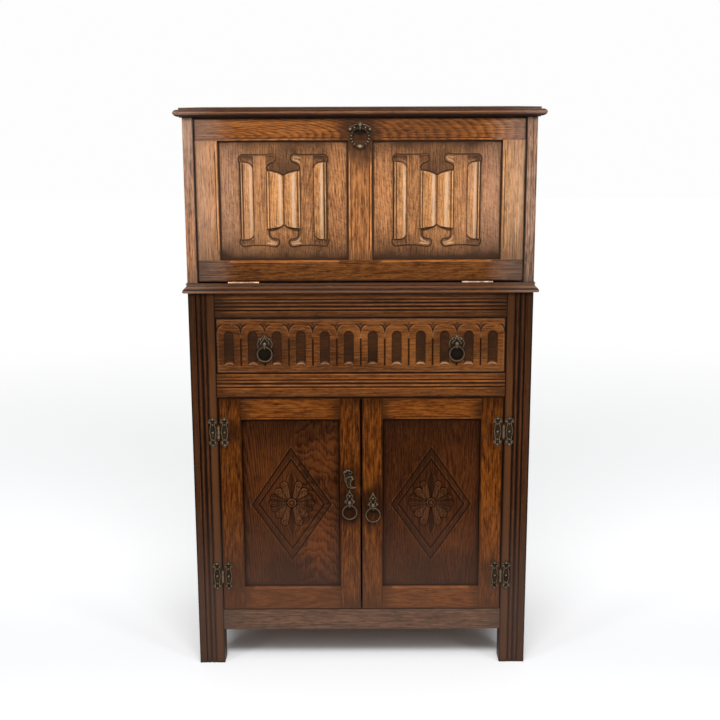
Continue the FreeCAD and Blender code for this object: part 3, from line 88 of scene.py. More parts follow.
class OakFinish(bpy.types.PropertyGroup):
    """Colours and grain of the oak."""

    fall: colour("Top rail of the fall", 129, 76, 33)
    fall_low: colour("Bottom rail of the fall", 99, 58, 25)
    fall_upright: colour("Stiles of the fall", 180, 120, 68)
    fall_muntin: colour("Muntin of the fall", 152, 98, 55)
    fold_ground: colour("Panel behind the carved fold", 176, 119, 74)
    # Wear and painted highlights: the tone of the fold's rubbed and lit tops.
    fold_worn_and_lit: colour("Rubbed tops of the carved fold", 202, 144, 88)
    top: colour("Top board and waist", 80, 47, 25)
    side: colour("Board beside the fall, on the left", 158, 108, 72)
    side_right: colour("Board beside the fall, on the right", 138, 105, 84)
    side_low: colour("Sides of the lower part", 104, 66, 38)
    frieze: colour("Reeded rail over the drawer", 81, 48, 24)
    drawer_rail: colour("Reeded rail under the drawer", 102, 59, 26)
    post: colour("Reeded posts", 60, 33, 15)
    drawer: colour("Drawer front", 112, 66, 29)
    # Wear and painted highlights on the drawer carving.
    drawer_worn_and_lit: colour("Rubbed edges of the drawer carving", 172, 128, 94)
    door: colour("Door stiles", 96, 50, 13)
    door_low: colour("Door rails", 110, 60, 20)
    door_panel: colour("Carved door panels", 66, 33, 11)
    # Wear and painted highlights on the door carving.
    door_worn: colour("Rubbed tops of the door carving", 106, 68, 41)
    plinth: colour("Rail under the doors", 92, 60, 38)
    inside: colour("Shelves, drawer box and backs", 140, 98, 60)
    # This dark tone serves for old polish and also for shade painted into corners, cuts, recesses and gaps.
    dirt: colour("Dark polish in corners and cuts", 18, 10, 6)
    # Painted highlight: pale glints painted on the crowns of the carved fold.
    glint: colour("Polish on the crowns of the carved fold", 228, 194, 164)
    # Painted sheen: the polish's pale reflection of the light, painted on the fall's outer edges and the top's
    # ends.
    painted_sheen_tone: colour("Pale polish on the outer edges of the fall", 170, 146, 132)
    # Painted reflection of the pale floor in the polish of the lowest parts.
    painted_floor_reflection_tone: colour("Bloom on the polish near the floor", 113, 98, 91)
    painted_floor_reflection: share("How much bloom there is near the floor", 0.42)
    pore: share("How dark the open pores are", 0.55)
    relief: share("How far the grain stands in relief", 0.35)
    ring_gap: length("Distance between growth rings", 3.6)
    # Reach of the shade painted into corners by ambient occlusion.
    corner: length("How far old polish reaches out of the corners", 15)


class CarvingSizes(bpy.types.PropertyGroup):
    """Depths of the carving."""

    pitch: length("Spacing of the carved surface's points", 1.05)
    cloth: length("Fold above its ground", 2.6)
    rib: length("Top of the ribs above the ground", 7.0)
    flute: length("Depth of the flutes", 4.0)
    slot: length("Depth of the slots", 3.0)
    chip: length("Depth of the cuts above the slots", 2.4)
    line: length("Depth of the lozenge line", 1.6)
    petal: length("Top of the petals above the field", 5.0)
    quirk: length("Depth of the line along the fall frame", 1.1)
    reed: length("Depth of the quirks between reeds", 2.8)


class FittingSizes(bpy.types.PropertyGroup):
    """Cast fittings."""

    bronze: colour("Dark cast metal", 60, 46, 31)
    # Wear and painted highlights on the cast metal.
    bronze_worn_and_lit: colour("Rubbed edges of the cast metal", 156, 134, 110)
    brass: colour("Hinge knuckles of the fall", 168, 138, 112)
    steel: colour("Stays and pins", 130, 128, 124)
    pitch: length("Spacing of the cast surface's points", 0.7)
    rim: length("Width of the raised rim", 1.4)
    bulb: number("Swelling at the foot of the fall's ring, times the wire", 1.9)


class StageSettings(bpy.types.PropertyGroup):
    """Camera, light and floor."""

    distance: number("Camera before the cabinet", 2.8347, unit="LENGTH")
    height: number("Camera above the floor", 1.32, unit="LENGTH")
    tilt: number("Camera tilt below level", math.radians(12.235), subtype="ANGLE")
    swing: number("Camera turned to the left", math.radians(0.0414), subtype="ANGLE")
    roll: number("Camera leaning on its own axis", math.radians(-0.219), subtype="ANGLE")
    lens: number("Focal length, mm", 59.248)
    box_power: number("Power of the soft box above, W", 56, subtype="POWER")
    room: number("Strength of the light all round", 0.28)
    floor: colour("Plain pale floor", 240, 244, 248)


# ---------------------------------------------------------------- materials


class Finish:
    """A node tree while it is being put together."""

    def __init__(self, tree):
        self.tree = tree
        tree.nodes.clear()

    def node(self, kind, **settings):
        made = self.tree.nodes.new(kind)
        for key, value in settings.items():
            setattr(made, key, value)
        return made

    def feed(self, socket, value):
        if isinstance(value, bpy.types.NodeSocket):
            self.tree.links.new(value, socket)
        else:
            socket.default_value = value

    def fed(self, kind, *values, **settings):
        """The outputs of a new node whose first inputs are fed."""
        made = self.node(kind, **settings)
        for socket, value in zip(made.inputs, values):
            self.feed(socket, value)
        return made.outputs

    def math(self, operation, *values, clamp=False):
        return self.fed("ShaderNodeMath", *values, operation=operation, use_clamp=clamp)[0]

    def plus(self, first, second, clamp=False):
        return self.math("ADD", first, second, clamp=clamp)

    def minus(self, first, second):
        return self.math("SUBTRACT", first, second)

    def times(self, first, second, clamp=False):
        return self.math("MULTIPLY", first, second, clamp=clamp)

    def scaled(self, value, factor, start, clamp=False):
        """A start and a value times a factor."""
        return self.math("MULTIPLY_ADD", value, factor, start, clamp=clamp)

    def about(self, noise, factor, start):
        """A start and a noise's swing about its middle times a factor."""
        return self.scaled(self.minus(noise, 0.5), factor, start)

    def larger(self, first, second):
        return self.math("MAXIMUM", first, second)

    def reach(self, first, second):
        """The length of two sides at a right angle."""
        squares = [self.math("POWER", side, 2.0) for side in (first, second)]
        return self.math("SQRT", self.plus(*squares))

    def parts(self, vector):
        return self.fed("ShaderNodeSeparateXYZ", vector)

    def joined(self, *values):
        return self.fed("ShaderNodeCombineXYZ", *values)[0]

    def vector(self, operation, *values):
        made = self.fed("ShaderNodeVectorMath", *values, operation=operation)
        return made["Value" if operation == "LENGTH" else "Vector"]

    def span(self, value, low, high, start=0.0, end=1.0):
        """A smooth step of a value from one span to another."""
        values = (value, low, high, start, end)
        return self.fed("ShaderNodeMapRange", *values, interpolation_type="SMOOTHSTEP")[0]

    def blend(self, factor, first, second, kind="MIX"):
        made = self.node("ShaderNodeMix", data_type="RGBA", blend_type=kind)
        self.feed(made.inputs[0], factor)
        for socket, value in ((made.inputs[6], first), (made.inputs[7], second)):
            self.feed(socket, (*value, 1) if isinstance(value, tuple) else value)
        return made.outputs[2]

    def ramp(self, value, stops):
        made = self.node("ShaderNodeValToRGB")
        points = made.color_ramp.elements
        while len(points) < len(stops):
            points.new(0.5)
        for point, (position, tone) in zip(points, stops):
            point.position = position
            point.color = (tone, tone, tone, 1) if isinstance(tone, float) else (*tone, 1)
        self.feed(made.inputs[0], value)
        return made.outputs[0]

    def noise(self, place, stretch, detail, rough, coloured=False):
        made = self.node("ShaderNodeTexNoise", noise_dimensions="3D")
        self.feed(made.inputs["Vector"], self.vector("MULTIPLY", place, stretch))
        for key, value in (("Scale", 1.0), ("Detail", detail), ("Roughness", rough)):
            self.feed(made.inputs[key], value)
        return made.outputs[1 if coloured else 0]

    def attribute(self, name):
        return self.node("ShaderNodeAttribute", attribute_name=name).outputs["Fac"]

    def close(self, base, roughness, bump, settings):
        """The surface: colour, roughness and bump from nodes, all else straight on the shader."""
        shader = self.node("ShaderNodeBsdfPrincipled")
        self.feed(shader.inputs["Base Color"], base)
        self.feed(shader.inputs["Roughness"], roughness)
        for key, value in settings.items():
            shader.inputs[key].default_value = value
        made = self.node("ShaderNodeBump")
        for key, value in zip(("Height", "Strength", "Distance"), bump):
            self.feed(made.inputs[key], value)
        self.feed(shader.inputs["Normal"], made.outputs[0])
        self.end("ShaderNodeOutputMaterial", shader.outputs[0])

    def end(self, kind, surface):
        self.feed(self.node(kind).inputs["Surface"], surface)


def new_material(name):
    material = bpy.data.materials.new(name)
    material.use_nodes = True
    return material, Finish(material.node_tree)


def shade(tone, *factors):
    """A tone times one factor, or times one for each of its parts."""
    factors = factors * 3 if len(factors) == 1 else factors
    return tuple(min(1.0, part * factor) for part, factor in zip(tone, factors))


# Noises in the wood: how close they lie across, through and along the grain (per metre), detail, roughness.
GRAIN = {
    "drift": ((11, 11, 3), 2.0, 0.5),
    "wave": ((24, 24, 15), 2.0, 0.6),
    "wander": ((90, 90, 9), 2.0, 0.55),
    "fibre": ((400, 400, 13), 4.0, 0.66),
    "short": ((330, 330, 58), 3.0, 0.62),
    "broad": ((8, 8, 3), 2.0, 0.5),
    "blotch": ((19, 19, 19), 3.0, 0.55),
    "ray": ((120, 120, 260), 2.0, 0.6),
    "pores": ((480, 480, 45), 2.0, 0.6),
    "fleck": ((210, 210, 70), 2.0, 0.5),
}
# One growth ring from its open early wood to its end, dark to light.
RING = [(0.0, 0.3), (0.1, 0.0), (0.28, 0.35), (0.75, 1.0), (1.0, 0.3)]
# How dark or light the wood gets about its tone: place on the ramp, times red, green and blue.
WOOD_RAMP = (
    (0.08, (0.22, 0.18, 0.16)), (0.32, (0.58, 0.52, 0.46)), (0.52, (1.0, 1.0, 1.0)),
    (0.74, (1.42, 1.5, 1.5)), (0.96, (1.9, 2.15, 2.3)),
)
# Tone of rubbed and lit carving: wear and painted highlights.
RUBBED_AND_LIT_RAMP = ((0.1, 0.3), (0.45, 0.8), (0.9, 1.5))
FLECK_TONE, BAND_TONE, SPOT_TONE = (2.0, 2.2, 2.2), (2.2, 2.4, 2.5), 3.2
SEED_STEPS = (3.1, 1.7, 5.3)
FRONT_EDGE = (-0.182, -0.177)
# Heights between which the painted floor reflection fades out, m.
PAINTED_FLOOR_REFLECTION_HEIGHTS = (0.1, 0.46)


def oak(
    name, tone, middle, grain="Z", facing="Y", pair=None, seed=0.0, heart=(0.0, 0.035), slope=0.06, other=None,
    figure=1.0, streak=1.0, shine=0.35, rough=0.4, ends=(), end_dirt=0.5, carved=None, bands=(), corner=0.85,
    patch=0.7, polish=0.0, spots=(), painted_sheen=(), ray=0.0, tint=None,
):
    """Polished oak: growth rings about a heart line, streaks, pores and flecks, with old polish and painted shade
    in its corners, painted highlights on its carving, a painted sheen and a painted reflection of the floor.

    The grain runs along one axis and the board faces another; the heart line lies across and behind its middle.
    A pair is two like boards either side of the middle: the axis and how far out they are.
    Another heart and slope, right of a line across, make a panel of two boards.
    A tint colours what lies behind the front edge.
    """
    settings = bpy.context.scene.cabinet_oak
    dirt_and_shade_tone = tuple(settings.dirt)
    material, s = new_material(name)
    place = s.node("ShaderNodeTexCoord").outputs["Object"]
    world = s.parts(place)
    axes = dict(zip("XYZ", s.parts(s.vector("SUBTRACT", place, tuple(part * MM for part in middle)))))
    shift = seed
    if pair:
        axis, out = pair
        sign = s.math("SIGN", axes[axis])
        axes[axis] = s.scaled(sign, -out * MM, axes[axis])
        shift = s.scaled(sign, 0.37, seed)
    across = "XYZ".replace(grain, "").replace(facing, "")
    wood = s.joined(*(axes[axis] for axis in (across, facing, grain)))
    there = s.vector("ADD", wood, s.joined(*(s.times(shift, part) for part in SEED_STEPS)))

    drift = s.vector("SUBTRACT", s.noise(there, *GRAIN["drift"], coloured=True), (0.5, 0.5, 0.5))
    drift = s.vector("MULTIPLY", drift, (0.016, 0.016, 0))
    bent_across, bent_through, bent_along = s.parts(s.vector("ADD", wood, drift))
    heart_across, heart_behind = heart
    lean, rings_per_metre = slope, 1 / (settings.ring_gap * MM)
    if other:
        line, (other_across, other_behind), other_slope = other
        right = s.math("GREATER_THAN", bent_across, line)
        wave = s.times(s.minus(s.noise(there, *GRAIN["wave"]), 0.5), right)
        bent_along = s.scaled(wave, 0.11, bent_along)
        heart_across = s.scaled(right, other_across - heart_across, heart_across)
        heart_behind = s.scaled(right, other_behind - heart_behind, heart_behind)
        lean = s.scaled(right, other_slope - slope, slope)
        rings_per_metre = s.scaled(right, -0.45 * rings_per_metre, rings_per_metre)
    behind = s.minus(bent_through, s.scaled(bent_along, lean, heart_behind))
    radius = s.reach(s.minus(bent_across, heart_across), behind)
    rings = s.scaled(radius, rings_per_metre, s.times(s.noise(there, *GRAIN["wander"]), 0.9))
    rings = s.ramp(s.math("FRACT", rings), RING)

    fibre = s.noise(there, *GRAIN["fibre"])
    blotch = s.noise(place, *GRAIN["blotch"])
    value = s.times(s.minus(rings, 0.55), 0.22 * figure)
    value = s.about(fibre, 1.6 * streak, value)
    value = s.about(s.noise(there, *GRAIN["short"]), 1.1 * streak, value)
    if ray:
        rise = s.joined(0.0, 0.0, s.times(bent_across, 0.6))
        value = s.about(s.noise(s.vector("ADD", there, rise), *GRAIN["ray"]), ray, value)
    value = s.about(s.noise(there, *GRAIN["broad"]), patch, value)
    value = s.plus(value, 0.5, clamp=True)
    look = s.ramp(value, [(position, shade(tone, *factors)) for position, factors in WOOD_RAMP])
    pores = s.times(s.span(s.noise(there, *GRAIN["pores"]), 0.52, 0.68), s.scaled(rings, -0.7, 1.0))
    look = s.blend(s.times(pores, settings.pore), look, shade(dirt_and_shade_tone, 1.4))
    fleck = s.span(s.noise(there, *GRAIN["fleck"]), 0.6, 0.7, 0.0, 0.3)
    look = s.blend(fleck, look, shade(tone, *FLECK_TONE))

    def along(axis):
        place_on = world["XYZ".index(axis[-1])]
        return s.math("ABSOLUTE", place_on) if axis.startswith("abs") else place_on

    # Dirt and shade: blotchy old polish, dark ends and spots, and below, the carving's marks, painted shade lines
    # and shade painted into corners.
    dirt = s.span(blotch, 0.55, 0.85, 0.0, 0.5)
    for axis, low, high, reach in ends:
        near = along(axis)
        near = s.math("MINIMUM", s.minus(near, low * MM), s.minus(high * MM, near))
        near = s.about(fibre, reach * 1.2 * MM, near)
        dirt = s.larger(dirt, s.span(near, 0.0, reach * MM, end_dirt, 0.0))
    front = s.span(world[1], *FRONT_EDGE, 1.0, 0.0)
    for x, z, reach, strength in spots:
        away = s.reach(s.minus(world[0], x * MM), s.minus(world[2], z * MM))
        away = s.about(blotch, reach * MM, away)
        spot = s.times(s.span(away, reach * 0.3 * MM, reach * MM, abs(strength), 0.0), front)
        if strength > 0:
            dirt = s.larger(dirt, spot)
        else:
            look = s.blend(s.times(spot, value), look, shade(tone, SPOT_TONE))
    # The carving's marks: wear and painted highlights lighten, dirt and painted shade darken.
    if carved:
        wear = s.attribute("wear")
        dirt = s.larger(dirt, s.times(s.attribute("dirt"), s.scaled(blotch, 0.7, 0.65), clamp=True))
        rubbed_and_lit = s.ramp(value, [(position, shade(carved, factor)) for position, factor in RUBBED_AND_LIT_RAMP])
        rub_and_highlight = s.times(wear, s.scaled(fibre, 0.5, 0.62), clamp=True)
        look = s.blend(rub_and_highlight, look, rubbed_and_lit)
        # Painted highlight: where the carving's marks run past 1, a pale glint is painted.
        glint = s.times(s.span(wear, 1.0, 2.0), s.scaled(fibre, 0.9, 0.5), clamp=True)
        look = s.blend(glint, look, tuple(settings.glint))
        rough = s.scaled(rub_and_highlight, -polish, rough)
    # Bands lighten or darken strips; on mouldings and edges they are painted highlights and painted shade lines.
    for axis, low, high, strength in bands:
        near = along(axis)
        band = s.span(near, low * MM, (low + 1) * MM)
        band = s.times(band, s.span(near, (high - 1) * MM, high * MM, 1.0, 0.0))
        if strength < 0:
            band = s.times(band, front) if tint else band
            dirt = s.larger(dirt, s.times(band, -strength))
        else:
            band = s.times(band, s.scaled(fibre, strength, strength * 0.5), clamp=True)
            look = s.blend(band, look, shade(tone, *BAND_TONE))
    # Painted shade: ambient occlusion darkens corners, recesses and gaps.
    hollow = s.node("ShaderNodeAmbientOcclusion", samples=6)
    hollow.inputs["Distance"].default_value = settings.corner * MM
    dirt = s.larger(dirt, s.span(hollow.outputs["AO"], 0.5, 0.97, corner, 0.0))
    # Painted sheen: a pale reflection of the light, painted on the polish towards the outer edges.
    for axis, start, full, amount in painted_sheen:
        pale = s.times(s.span(along(axis), start * MM, full * MM, 0.0, amount), s.plus(value, 0.5))
        look = s.blend(pale, look, tuple(settings.painted_sheen_tone))
    if tint:
        look = s.blend(s.minus(1.0, front), look, tint, "MULTIPLY")
    look = s.blend(dirt, look, s.blend(0.3, dirt_and_shade_tone, shade(tone, 0.3)))
    # Painted reflection of the floor: the polish is paler and greyer low down.
    painted_floor_reflection = s.span(world[2], *PAINTED_FLOOR_REFLECTION_HEIGHTS, settings.painted_floor_reflection, 0.0)
    look = s.blend(painted_floor_reflection, look, s.blend(0.5, tuple(settings.painted_floor_reflection_tone), shade(tone, 1.2)))

    gloss = s.scaled(fibre, -0.2, s.plus(rough, 0.1))
    gloss = s.scaled(dirt, 0.14, s.scaled(pores, 0.2, gloss), clamp=True)
    height = s.scaled(rings, 0.25, s.scaled(pores, -0.9, s.times(fibre, 0.9)))
    s.close(look, gloss, (height, settings.relief, 0.0008), {"Specular IOR Level": shine})
    return material


def cast_metal(name, tone, worn_and_lit_tone, carved=True):
    """Old cast or drawn metal: dark in the hollows with patina and painted shade, rubbed and painted bright on the
    edges and bosses.
    """
    material, s = new_material(name)
    place = s.node("ShaderNodeTexCoord").outputs["Object"]
    cloud = s.noise(place, (70, 70, 70), 4.0, 0.55)
    grit = s.noise(place, (900, 900, 900), 2.0, 0.55)
    patina = s.blend(s.span(cloud, 0.3, 0.75), shade(tone, 0.6), shade(tone, 1.35))
    if carved:
        rub_and_highlight = s.times(s.attribute("wear"), s.scaled(cloud, 1.1, 0.4), clamp=True)
    else:
        rub_and_highlight = s.span(cloud, 0.42, 0.7, 0.1, 0.85)
    base = s.blend(rub_and_highlight, patina, worn_and_lit_tone)
    if carved:
        base = s.blend(s.times(s.attribute("dirt"), 0.85), base, shade(tone, 0.16))
    roughness = s.scaled(grit, 0.16, s.scaled(rub_and_highlight, -0.14, 0.48))
    height = s.scaled(cloud, 0.7, s.times(grit, 0.4))
    s.close(base, roughness, (height, 0.3, 0.0005), {"Metallic": 0.9, "Specular IOR Level": 0.5})
    return material


# ---------------------------------------------------------------- pieces


def finish_piece(bm, name, body, material, node, crease):
    """Turn a bmesh in millimetres into a piece that rides on a body and stands for a node."""
    bmesh.ops.scale(bm, vec=(MM, MM, MM), verts=bm.verts)
    bmesh.ops.recalc_face_normals(bm, faces=bm.faces)
    mesh = bpy.data.meshes.new(name)
    bm.to_mesh(mesh)
    bm.free()
    mesh.shade_smooth()
    mesh.set_sharp_from_angle(angle=math.radians(crease))
    mesh.materials.append(material)
    piece = bpy.data.objects.new(name, mesh)
    bpy.context.scene.collection.objects.link(piece)
    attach(piece, body)
    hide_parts(node)


def join_into(bm, other):
    """Add another bmesh to this one."""
    mesh = bpy.data.meshes.new("joined")
    other.to_mesh(mesh)
    other.free()
    bm.from_mesh(mesh)
    bpy.data.meshes.remove(mesh)


def step(low, high, value):
    """A smooth step from 0 at low to 1 at high."""
    t = np.clip((value - low) / (high - low), 0, 1)
    return t * t * (3 - 2 * t)


def bump(value, middle, half):
    """A round hill that is 1 at its middle and 0 from half away."""
    return np.clip(1 - ((value - middle) / half) ** 2, 0, 1)


def rounded(depth, reach):
    """A quarter round from 0 at an edge to 1 where it has reached in."""
    return np.clip(1 - (1 - np.clip(depth / reach, 0, 1)) ** 2, 0, 1) ** 0.5


def fading(distance, reach):
    """1 at an edge and less with the distance from it."""
    return np.exp(-np.maximum(distance, 0) / reach)


def most(*layers):
    """The largest of several layers at each point."""
    return functools.reduce(np.maximum, layers)


def spaced(marks, pitch):
    """Points from the first mark to the last that fall on every mark and are a pitch apart at most."""
    points = [marks[0]]
    for start, end in zip(marks, marks[1:]):
        count = max(1, math.ceil((end - start) / pitch - 1e-6))
        points += [start + (end - start) * (number + 1) / count for number in range(count)]
    return np.array(points)


def box_mm(node):
    """A node's lowest and highest corners in millimetres."""
    low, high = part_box(node)
    return [part / MM for part in low], [part / MM for part in high]


def halfway(low, high):
    return [(first + last) / 2 for first, last in zip(low, high)]


def grid_points(bm, columns, rows):
    """Across and up for every point of a new grid."""
    bmesh.ops.create_grid(bm, x_segments=len(columns) - 1, y_segments=len(rows) - 1, size=1)
    flat = np.array([vert.co[:2] for vert in bm.verts])
    flat = (flat - flat.min(axis=0)) / (flat.max(axis=0) - flat.min(axis=0))
    across = np.interp(flat[:, 0] * (len(columns) - 1), np.arange(len(columns)), columns)
    up = np.interp(flat[:, 1] * (len(rows) - 1), np.arange(len(rows)), rows)
    return across, up


def mark_layers(bm):
    return bm.verts.layers.float.new("dirt"), bm.verts.layers.float.new("wear")


def press(bm, across, face, up, relief):
    """Set a grid's points to a relief in front of a face, with its dirt and painted shade, and its wear and painted
    highlights.
    """
    dirt_and_shade_layer, wear_and_highlight_layer = mark_layers(bm)
    for vert, x, z, rise, dark, rub_and_highlight in zip(bm.verts, across, up, *relief):
        vert.co = (x, face - rise, z)
        vert[dirt_and_shade_layer] = dark
        vert[wear_and_highlight_layer] = rub_and_highlight


def carved_board(bm, columns, rows, face, back, relief):
    """A board with a carved front: a pressed grid with its clean sides and back drawn out of the grid's rim."""
    across, up = grid_points(bm, columns, rows)
    press(bm, across, face, up, relief(across, up))
    marks = bm.verts.layers.float["dirt"], bm.verts.layers.float["wear"]
    for reach, dirt in ((1.2, 0.4), (2.4, 0.15), (None, 0.1)):
        rim = [edge for edge in bm.edges if edge.is_boundary]
        drawn = bmesh.ops.extrude_edge_only(bm, edges=rim)["geom"]
        for vert in (part for part in drawn if isinstance(part, bmesh.types.BMVert)):
            vert.co.y = back if reach is None else vert.co.y + reach
            vert[marks[0]] = dirt
            vert[marks[1]] = 0
    bmesh.ops.holes_fill(bm, edges=[edge for edge in bm.edges if edge.is_boundary], sides=0)


TONGUE = 7.5  # a panel's edge in its groove, mm
GROUND = 9  # a panel's ground before its back, mm


# ---------------------------------------------------------------- linenfold panels

# Carved fold, right half from the upper cusp round to the lower one, mm:
# across, up, radius of the edge that follows (0 is straight), side it bulges to.
FOLD_EDGE = [
    (0, 55, 60, 1), (36, 66, 0, 0), (37.5, 74, 16, -1), (27, 84, 11, 1), (17, 92.5, 8.5, 1), (25, 102, 0, 0),
    (38, 100, 0, 0), (91, 100, 10, 1), (95, 84, 0, 0), (95, -84, 10, 1), (90, -101, 177, -1), (25, -101, 9, 1),
    (12.5, -95, 6, 1), (20, -86.5, 15, -1), (33.5, -76, 0, 0), (34, -65, 49, 1), (0, -52, 0, 0),
]
ARC_PARTS = 8
# Ribs lie this far across, mm: the inner one to its edge, the outer one from edge to edge; between them is cloth.
INNER_RIB, BETWEEN, OUTER_RIB = 37, 52, (67, 95)
# Painted shade lines and old polish along the ribs' edges: across, half width, mm.
RIB_LINES = ((66.8, 2.1), (37.6, 2.0), (90.4, 1.3), (31.7, 1.2), (0, 1.6), (95.8, 1.8))
# Where the grid needs a line of points, across, mm.
FOLD_MARKS = (0, 1.2, 31, 32.4, 36.1, 37.3, 66.5, 67.7, 90, 91.2, 94.7, 95.7)


def fold_outline():
    """The fold's right half as points, with its arcs divided."""
    points = []
    for (x0, z0, radius, side), (x1, z1, _, _) in zip(FOLD_EDGE, FOLD_EDGE[1:]):
        points.append((x0, z0))
        if not radius:
            continue
        start, end = Vector((x0, z0)), Vector((x1, z1))
        chord = end - start
        normal = Vector((-chord.y, chord.x)).normalized()
        reach = math.sqrt(max(radius**2 - chord.length**2 / 4, 0))
        centre = (start + end) / 2 - normal * side * reach
        first = math.atan2(start.y - centre.y, start.x - centre.x)
        last = math.atan2(end.y - centre.y, end.x - centre.x)
        turn = (last - first + math.pi) % (2 * math.pi) - math.pi
        for part in range(1, ARC_PARTS):
            angle = first + turn * part / ARC_PARTS
            points.append((centre.x + radius * math.cos(angle), centre.y + radius * math.sin(angle)))
    points.append(FOLD_EDGE[-1][:2])
    return points


def outline_depth(across, up, points):
    """How far inside an outline that is open along its left side each point lies; negative outside."""
    nearest = np.full(across.shape, 1e9)
    inside = np.zeros(across.shape, bool)
    for (x0, z0), (x1, z1) in zip(points, points[1:]):
        dx, dz = x1 - x0, z1 - z0
        t = np.clip(((across - x0) * dx + (up - z0) * dz) / (dx * dx + dz * dz), 0, 1)
        nearest = np.minimum(nearest, np.hypot(across - x0 - t * dx, up - z0 - t * dz))
        if dz:
            crosses = (up < z0) != (up < z1)
            inside ^= crosses & (across < x0 + (up - z0) * dx / dz)
    return np.where(inside, nearest, -nearest)


def rib_section(place, foot, top, crown, power, bead_at, bead_half, bead_from, bead_rise):
    """Height across a rib, from its crown to the bead along its outer edge, and the bead alone."""
    bead = bump(place, bead_at, bead_half) ** 0.5
    height = foot + (top - foot) * bump(place, crown, 0.44) ** power
    return np.where(place > bead_from, 2.2 + bead_rise * bead, height), bead


def fold_relief(x, w, half, seed, sizes, outline):
    """Height, dirt and painted shade, wear and painted highlights of a carved fold: ribs with rounded ends on a
    cloth that is scooped beyond them.
    """
    u = np.abs(x)
    depth = outline_depth(u, w, outline)
    cloth = step(-0.7, 0.7, depth)
    s, t = (u - OUTER_RIB[0]) / (OUTER_RIB[1] - OUTER_RIB[0]), u / INNER_RIB
    outer_high, outer_bead = rib_section(s, 2.0, sizes.rib, 0.40, 0.85, 0.925, 0.075, 0.845, 3.0)
    inner_high, inner_bead = rib_section(t, 1.4, sizes.rib, 0.46, 0.8, 0.93, 0.07, 0.865, 3.2)
    outside = u > BETWEEN
    corner = 1 - np.sqrt(1 - np.clip(1 - s / 0.5, 0, 1) ** 2)
    s_in, t_in = np.clip(s, 0, 1), np.clip(t, 0, 1)
    head = np.where(outside, 82 - 15 * corner + 3 * s_in, 55.5 + 10.5 * t_in**0.6) - w
    foot = w - np.where(outside, -84 + 14 * corner - 2 * s_in, -51.6 - 10.4 * t_in**0.45)
    outer = step(66.6, 67.6, u) * (1 - step(94.8, 95.6, u))
    inner = 1 - step(36.2, 37.2, u)
    run = step(-0.6, 0.6, head) * step(-0.6, 0.6, foot)
    on_rib = np.maximum(outer, inner)
    ribs = on_rib * run
    beyond = np.where(outside, outer, 1 - step(36, 42, u)) * (1 - run)
    hollow = beyond * step(0.8, 3.0, depth)
    scoop = bump(depth, 6.5, 6.0)
    level = sizes.cloth - 1.0 * bump(u, BETWEEN, 15)
    level = level * (1 - hollow) + (0.9 - 2.4 * scoop) * hollow + 0.8 * beyond * bump(depth, 1.1, 1.3)
    height = cloth * level * (1 - ribs) + ribs * np.where(outside, outer_high, inner_high)
    edge_x = half[0] - TONGUE - u
    edge = np.minimum(edge_x, half[1] - TONGUE - np.abs(w))
    height = np.where(edge < 0, 0, height)

    ground = 1 - cloth
    near = np.minimum(depth, 0)
    notch = (1 - step(30, 40, u)) * step(48, 62, np.abs(w))
    under_rail = 0.74 + 0.1 * seed + 0.26 * (1 - step(70, 120, u))
    # Painted shade under the rail, along the recess edges, round the fold, in the notches, scoops and rib ends; old
    # polish on the ground.
    dirt = most(
        ground * (0.6 * np.exp(near / 3.5) + 0.35 * np.exp(near / 14)),
        ground * notch * np.where(w > 0, 0.82, 0.9 * np.exp((w + 50) / 22)),
        under_rail * fading(half[1] - TONGUE - w, 52) * (1 - 0.6 * ribs),
        1.1 * fading(half[1] - TONGUE + w, 60) * (1 - 0.4 * ribs),
        0.3 * cloth * (1 - ribs),
        0.6 * fading(edge_x, 10),
        1.3 * (1 - step(2.2, 7.5, edge)),
        np.where(w > 0, 0.85, 0.7) * hollow * (0.6 + 0.4 * scoop),
        0.95 * on_rib * np.maximum(bump(head, -1.6, 2.0), bump(foot, -1.8, 2.6)),
        1.1 * bump(depth, -1.2, 2.8),
        *(0.9 * bump(u, line, half_width) * run for line, half_width in RIB_LINES),
    )
    # Painted highlights: lit stripes on the ribs' flanks and beads, lit rib ends and glints in the scoops of the
    # hooks.
    far = x > 0
    lit_outer = np.where(far, bump(s, 0.62, 0.22), bump(s, 0.2, 0.2)) + 0.7 * outer_bead
    lit_inner = np.where(far, bump(t, 0.58, 0.22), bump(t, 0.2, 0.2)) + 0.7 * inner_bead
    lip = hollow * bump(depth, 5.0, 4.5) * (1 - step(40, 48, u)) * np.where(w < 0, 1.0, far)
    wear = most(
        ribs * (0.5 + 1.2 * np.where(outside, lit_outer, lit_inner)),
        1.6 * ribs * bump(head, 1.6, 1.6),
        0.1 * cloth * (1 - hollow),
        0.85 * beyond * bump(depth, 1.0, 1.2),
        1.7 * lip,
    )
    dirt = dirt * (1 - 0.8 * lip)
    return height, dirt, wear * (1 - 0.5 * np.clip(dirt, 0, 1))


